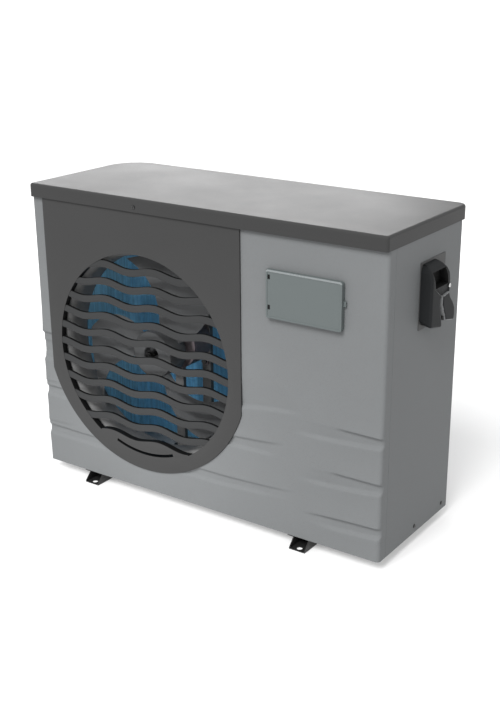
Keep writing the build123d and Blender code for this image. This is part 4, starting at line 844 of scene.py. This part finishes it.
def make_fins():
    """A pack of thin rippled fins, each at its own place along the coil."""
    chance = Random(7)
    shape = bmesh.new()
    for (x, y), (out_x, out_y) in coil_places():
        jitter = chance.uniform(-FIN_JITTER, FIN_JITTER) * MM
        columns = []
        for k in range(FIN_STEPS + 1):
            out = lerp(-COIL_T / 2, COIL_T / 2, k / FIN_STEPS)
            ripple = (FIN_RIPPLE if k % 2 else -FIN_RIPPLE) + jitter
            for side in (-1, 1):
                shift = ripple + side * FIN_HALF_T
                columns.append((x + out_x * out - out_y * shift, y + out_y * out + out_x * shift))
        lower = [shape.verts.new((px, py, coil_low.z)) for px, py in columns]
        upper = [shape.verts.new((px, py, coil_high.z)) for px, py in columns]
        for a in range(0, 2 * FIN_STEPS, 2):
            b = a + 2
            shape.faces.new((lower[a], lower[b], upper[b], upper[a]))
            shape.faces.new((lower[a + 1], upper[a + 1], upper[b + 1], lower[b + 1]))
            shape.faces.new((upper[a], upper[b], upper[b + 1], upper[a + 1]))
            shape.faces.new((lower[a], lower[a + 1], lower[b + 1], lower[b]))
        shape.faces.new((lower[0], upper[0], upper[1], lower[1]))
        shape.faces.new((lower[-2], lower[-1], upper[-1], upper[-2]))
    fins = from_bmesh("evaporator_fin_pack", shape, ["blue_fins"], 20)
    place(fins, "casing", "blue_fins", "evaporator_fins")


# ---------------------------------------------------------------- cable hood

HOOD_DEPTH = hood_high.x - hood_low.x
TOP_DOME = 38 * MM
EDGE_R, REAR_EDGE_R, GAP_EDGE_R = 6 * MM, 8 * MM, 10 * MM
LEAST_HEIGHT = 0.4 * MM
# The sunk window: its floor's height off the plate, its low and high end, its front and rear edge at
# the high end, how far these lean to the rear at the low end, and the wall kept behind it.
RECESS_FLOOR = 8.5 * MM
RECESS_LOW, RECESS_HIGH = 627 * MM, 664 * MM
RECESS_FRONT, RECESS_REAR = -27 * MM, 34 * MM
RECESS_LEAN = 9 * MM
RECESS_WALL = 5 * MM
# The ridge under the window, as (y, z), and how far the facet above it is set in.
VEE_LEFT, VEE_TIP, VEE_RIGHT = (-21 * MM, 628 * MM), (16 * MM, 601 * MM), (53 * MM, 605 * MM)
VEE_STEP = 5 * MM
# The facet fades out near both edges of the hood: where the fade starts, and how long it is.
VEE_FADE_FRONT, VEE_FADE_REAR = (8 * MM, 10 * MM), (5 * MM, 9 * MM)
# Front and rear edge of the hood in y, and the middle and half width of the gap between its lobes,
# all by z, in millimetres.
FRONT_EDGE = ((541, -34), (546, -36), (664, -36), (673, -33), (680, -22))
REAR_EDGE = (
    (541, 80), (545, 86), (553, 88), (563, 87), (578, 75), (592, 61), (602, 56), (634, 57), (650, 54),
    (662, 48), (672, 39), (680, 30),
)
GAP_MIDDLE = ((541, 31), (550, 29), (565, 22), (580, 15), (601, 16))
GAP_HALF = ((541, 5), (550, 3.5), (580, 2), (601, 0.5))
GAP_Y = GAP_MIDDLE[0][1] * MM
# The foot of each lobe: y of its front and its rear end, and how much lower its rear end hangs.
LOBE_DROPS = ((-36 * MM, 25 * MM, 13 * MM), (33 * MM, 86 * MM, 12 * MM))
FOOT_RUN = 32 * MM
UNDERSIDE_RISE = 12 * MM
# Painted highlights on the edges: a strip beside the gap, one along the ridge, and one at the foot of the rear
# lobe.
RIM_START, RIM_END = 1.5 * MM, 5.5 * MM
VEE_RIM = 1.5 * MM
FOOT_RIM = 4 * MM
# Faces lower than this over the plate never get the painted highlight. In the window, the faces painted as shade
# lie in this box.
FLANK_T = 4 * MM
DARK_FRONT, DARK_REAR = -28 * MM, 44 * MM
DARK_FLOOR, DARK_TOP = 5 * MM, 4 * MM
# Material numbers: the body, the painted shade in the window and the painted highlights on the edges.
HOOD_BODY, HOOD_DARK, HOOD_HIGHLIGHT = 0, 1, 2


def along_line(points, z):
    """Value at z of a broken line of (z, value) points in millimetres."""
    z /= MM
    for (z0, v0), (z1, v1) in zip(points, points[1:]):
        if z <= z1:
            return lerp(v0, v1, max(0.0, (z - z0) / (z1 - z0))) * MM
    return points[-1][1] * MM


def rounded(distance, radius):
    """Share of the full height at a distance inside a rounded edge."""
    t = clamp(distance / radius)
    return sqrt(1 - (1 - t) ** 2)


def edge_share(distance, radius):
    """Share of the hood's depth beside an upright wall whose edge is rounded by radius."""
    return 1 - radius / HOOD_DEPTH * (1 - rounded(distance, radius))


def vee_line(y):
    """z of the ridge between the facet under the recess and the lobes."""
    (y0, z0), (y1, z1) = (VEE_LEFT, VEE_TIP) if y < VEE_TIP[0] else (VEE_TIP, VEE_RIGHT)
    return lerp(z0, z1, (y - y0) / (y1 - y0))


def from_gap(y, z):
    """Distance from the gap between the lobes; negative inside it."""
    return abs(y - along_line(GAP_MIDDLE, z)) - along_line(GAP_HALF, z)


def foot_share(z):
    """1 at the foot of the lobes, fading to 0 over FOOT_RUN."""
    return smoothstep((hood_low.z + FOOT_RUN - z) / FOOT_RUN)


def lobe_drop(y):
    """How far the foot of a lobe hangs below its front end at y."""
    start, end, drop = LOBE_DROPS[0] if y < GAP_Y else LOBE_DROPS[1]
    return drop * clamp((y - start) / (end - start))


def hood_height(y, z, front_y, rear_y):
    """How far the hood stands off its plate at (y, z), but for its window."""
    height = HOOD_DEPTH * rounded(hood_high.z - z, TOP_DOME) * edge_share(z - hood_low.z, EDGE_R)
    height *= edge_share(y - front_y, EDGE_R) * edge_share(rear_y - y, REAR_EDGE_R)
    if z < VEE_TIP[1]:
        gap = from_gap(y, z)
        height *= smoothstep((gap + 1 * MM) / (4 * MM)) * edge_share(gap, GAP_EDGE_R)
    ridge = vee_line(y)
    if ridge < z < RECESS_LOW:
        (front_start, front_run), (rear_start, rear_run) = VEE_FADE_FRONT, VEE_FADE_REAR
        fade = smoothstep((rear_y - y - rear_start) / rear_run)
        fade *= smoothstep((y - front_y - front_start) / front_run)
        height -= VEE_STEP * fade * (1 - (z - ridge) / (RECESS_LOW - ridge))
    return max(LEAST_HEIGHT, height)


def hood_window(z, rear_y):
    """Front and rear edge in y of the sunk window at z."""
    lean = RECESS_LEAN * (1 - clamp((z - RECESS_LOW) / (RECESS_HIGH - RECESS_LOW)))
    return RECESS_FRONT + lean, min(RECESS_REAR + lean, rear_y - RECESS_WALL)


def hood_levels():
    """Heights of the rows of vertices, closest together where the surface turns."""
    levels = [hood_low.z, hood_low.z + 0.05 * MM]
    levels += spaced(hood_low.z + 1 * MM, RECESS_LOW, 1.4 * MM) + [RECESS_LOW, RECESS_LOW + 1 * MM]
    levels += spaced(RECESS_LOW + 2.4 * MM, RECESS_HIGH - 1 * MM, 1.4 * MM) + [RECESS_HIGH - 1 * MM]
    levels += spaced(RECESS_HIGH, hood_high.z - 1 * MM, 1.2 * MM)
    return levels + [hood_high.z - 0.5 * MM, hood_high.z]


def hood_columns(front_y, rear_y, window_front, window_rear):
    """Places of the vertices in one row, closest together at both edges of the window."""
    columns = [front_y, front_y + 0.05 * MM]
    columns += [lerp(front_y + 0.5 * MM, window_front, k / 9) for k in range(10)]
    columns += [lerp(window_front + 1 * MM, window_rear - 1 * MM, k / 38) for k in range(39)]
    columns += [lerp(window_rear, rear_y - 0.5 * MM, k / 16) for k in range(17)]
    return columns + [rear_y - 0.05 * MM, rear_y]


def hood_look(x, y, z):
    """Number of the material at a place: painted shade in the window, painted highlights along the edges."""
    z += lobe_drop(y) * foot_share(z)
    if RECESS_LOW < z < RECESS_HIGH:
        sunk = hood_low.x + DARK_FLOOR < x < hood_high.x - DARK_TOP and DARK_FRONT < y < DARK_REAR
        return HOOD_DARK if sunk else HOOD_BODY
    beside_gap = z < VEE_TIP[1] and RIM_START < from_gap(y, z) < RIM_END
    on_ridge = VEE_LEFT[0] < y < VEE_RIGHT[0] and abs(z - vee_line(y)) < VEE_RIM
    on_foot = y > GAP_Y and z < hood_low.z + FOOT_RIM
    highlighted = x >= hood_low.x + FLANK_T and (beside_gap or on_ridge or on_foot)
    return HOOD_HIGHLIGHT if highlighted else HOOD_BODY


def make_hood():
    """Moulded cable hood: domed top, sunk window, and two lobes that part below a V."""
    levels = hood_levels()
    shape = bmesh.new()
    outer_rows, inner_rows = [], []
    for z in levels:
        front_y, rear_y = along_line(FRONT_EDGE, z), along_line(REAR_EDGE, z)
        window_front, window_rear = hood_window(z, rear_y)
        rise = UNDERSIDE_RISE * foot_share(z)
        outer, inner = [], []
        for y in hood_columns(front_y, rear_y, window_front, window_rear):
            height = hood_height(y, z, front_y, rear_y)
            if RECESS_LOW < z < RECESS_HIGH and window_front < y < window_rear:
                height = min(height, RECESS_FLOOR)
            if y in (front_y, rear_y) or z in (levels[0], levels[-1]):
                height = 0.0
            foot_z = z - lobe_drop(y) * foot_share(z)
            outer_z = foot_z + rise * (1 - height / HOOD_DEPTH)
            outer.append(shape.verts.new((hood_low.x + height, y, outer_z)))
            inner.append(shape.verts.new((hood_low.x, y, foot_z + rise)))
        outer_rows.append(outer)
        inner_rows.append(inner)
    sheet_faces(shape, outer_rows)
    sheet_faces(shape, inner_rows)
    bmesh.ops.remove_doubles(shape, verts=shape.verts, dist=0.01 * MM)
    bmesh.ops.dissolve_degenerate(shape, edges=shape.edges, dist=0.005 * MM)
    hood = from_bmesh("cable_hood_shell", shape, ["hood_black", "slot_black", "hood_rim"], 50)
    for face in hood.data.polygons:
        face.material_index = hood_look(*face.center)
    place(hood, "casing", "hood_black", "cable_hood")


# ---------------------------------------------------------------- stage, light and camera

FLOOR_REACH = 60.0
FLOOR_COLOUR = (0.55, 0.55, 0.55, 1)
FLOOR_GLOW = 0.3
WORLD_STRENGTH = 0.75

SUN_DIRECTION = (-0.03, 0.68, -0.73)
SUN_STRENGTH, SUN_ANGLE = 3.9, radians(30)
# The softbox is what the lid mirrors, and the spot lifts the grille.
SOFTBOX_PLACE, SOFTBOX_AIM = (-2.1, 2.8, 1.7), (-0.05, 0.0, 0.77)
SOFTBOX_SIZE, SOFTBOX_POWER = (2.4, 1.4), 39
SPOT_PLACE, SPOT_AIM = (FAN_X + 0.35, -3.4, 0.5), (FAN_X, FRONT, FAN_Z - 0.13)
SPOT_POWER, SPOT_CONE, SPOT_RADIUS = 330, radians(13), 0.25

# The camera as solved from the casing's edges in the photograph.
CAMERA_PLACE = (1.5747, -2.1722, 1.3231)
CAMERA_AZIMUTH, CAMERA_ELEVATION, CAMERA_ROLL = radians(34.3), radians(20.45), radians(-0.18)
CAMERA_SENSOR, CAMERA_LENS = 36.0, 58.67
CAMERA_SHIFT = -0.0198, 0.0272


def hang_lamp(data, spot, direction):
    """Lamp at spot that shines along direction and isn't mirrored in glossy surfaces."""
    lamp = bpy.data.objects.new(data.name, data)
    lamp.location = spot
    lamp.rotation_mode = "QUATERNION"
    lamp.rotation_quaternion = Vector(direction).to_track_quat("-Z", "Y")
    lamp.visible_glossy = False
    bpy.context.scene.collection.objects.link(lamp)
    return lamp


def make_floor():
    """Wide pale floor that glows a little, so that it stays near white."""
    shape = bmesh.new()
    bmesh.ops.create_grid(shape, x_segments=8, y_segments=8, size=FLOOR_REACH)
    mesh = bpy.data.meshes.new("floor")
    shape.to_mesh(mesh)
    shape.free()
    paper = finish(
        "studio_paper", FLOOR_COLOUR, 0.9, spread=0.01, cloud=1.0, grain=200.0, specular=0.1,
    )
    shader = paper.node_tree.nodes["Principled BSDF"].inputs
    shader["Emission Color"].default_value = WHITE
    shader["Emission Strength"].default_value = FLOOR_GLOW
    floor = build_object("floor", mesh, [])
    floor.data.materials.append(paper)


def make_light():
    """White world, a broad sun from the front, a softbox behind the lid and a spot on the grille."""
    world = bpy.data.worlds.new("studio")
    world.use_nodes = True
    sky = world.node_tree.nodes["Background"].inputs
    sky["Color"].default_value = WHITE
    sky["Strength"].default_value = WORLD_STRENGTH
    bpy.context.scene.world = world
    bpy.context.scene.view_settings.view_transform = "Standard"

    sun = bpy.data.lights.new("key", "SUN")
    sun.energy = SUN_STRENGTH
    sun.angle = SUN_ANGLE
    hang_lamp(sun, (0, 0, 0), SUN_DIRECTION)

    softbox = bpy.data.lights.new("lid_softbox", "AREA")
    softbox.shape = "RECTANGLE"
    softbox.size, softbox.size_y = SOFTBOX_SIZE
    softbox.energy = SOFTBOX_POWER
    lamp = hang_lamp(softbox, SOFTBOX_PLACE, Vector(SOFTBOX_AIM) - Vector(SOFTBOX_PLACE))
    lamp.visible_camera = False
    lamp.visible_glossy = True

    spot = bpy.data.lights.new("grille_spot", "SPOT")
    spot.energy = SPOT_POWER
    spot.spot_size, spot.spot_blend = SPOT_CONE, 1.0
    spot.shadow_soft_size = SPOT_RADIUS
    hang_lamp(spot, SPOT_PLACE, Vector(SPOT_AIM) - Vector(SPOT_PLACE))


def make_camera():
    """Camera at the photograph's viewing angle."""
    ahead = Vector((
        -sin(CAMERA_AZIMUTH) * cos(CAMERA_ELEVATION),
        cos(CAMERA_AZIMUTH) * cos(CAMERA_ELEVATION),
        -sin(CAMERA_ELEVATION),
    ))
    data = bpy.data.cameras.new("camera")
    data.sensor_width = CAMERA_SENSOR
    data.lens = CAMERA_LENS
    data.shift_x, data.shift_y = CAMERA_SHIFT
    camera = bpy.data.objects.new("camera", data)
    turn = ahead.to_track_quat("-Z", "Y").to_matrix().to_4x4() @ Matrix.Rotation(CAMERA_ROLL, 4, "Z")
    camera.matrix_world = Matrix.Translation(CAMERA_PLACE) @ turn
    bpy.context.scene.collection.objects.link(camera)
    bpy.context.scene.camera = camera


make_camera()
make_floor()
make_light()
dress_cad_nodes()
make_front_panel()
make_grille()
make_door_bead()
make_shroud()
make_fan()
make_fins()
make_hood()
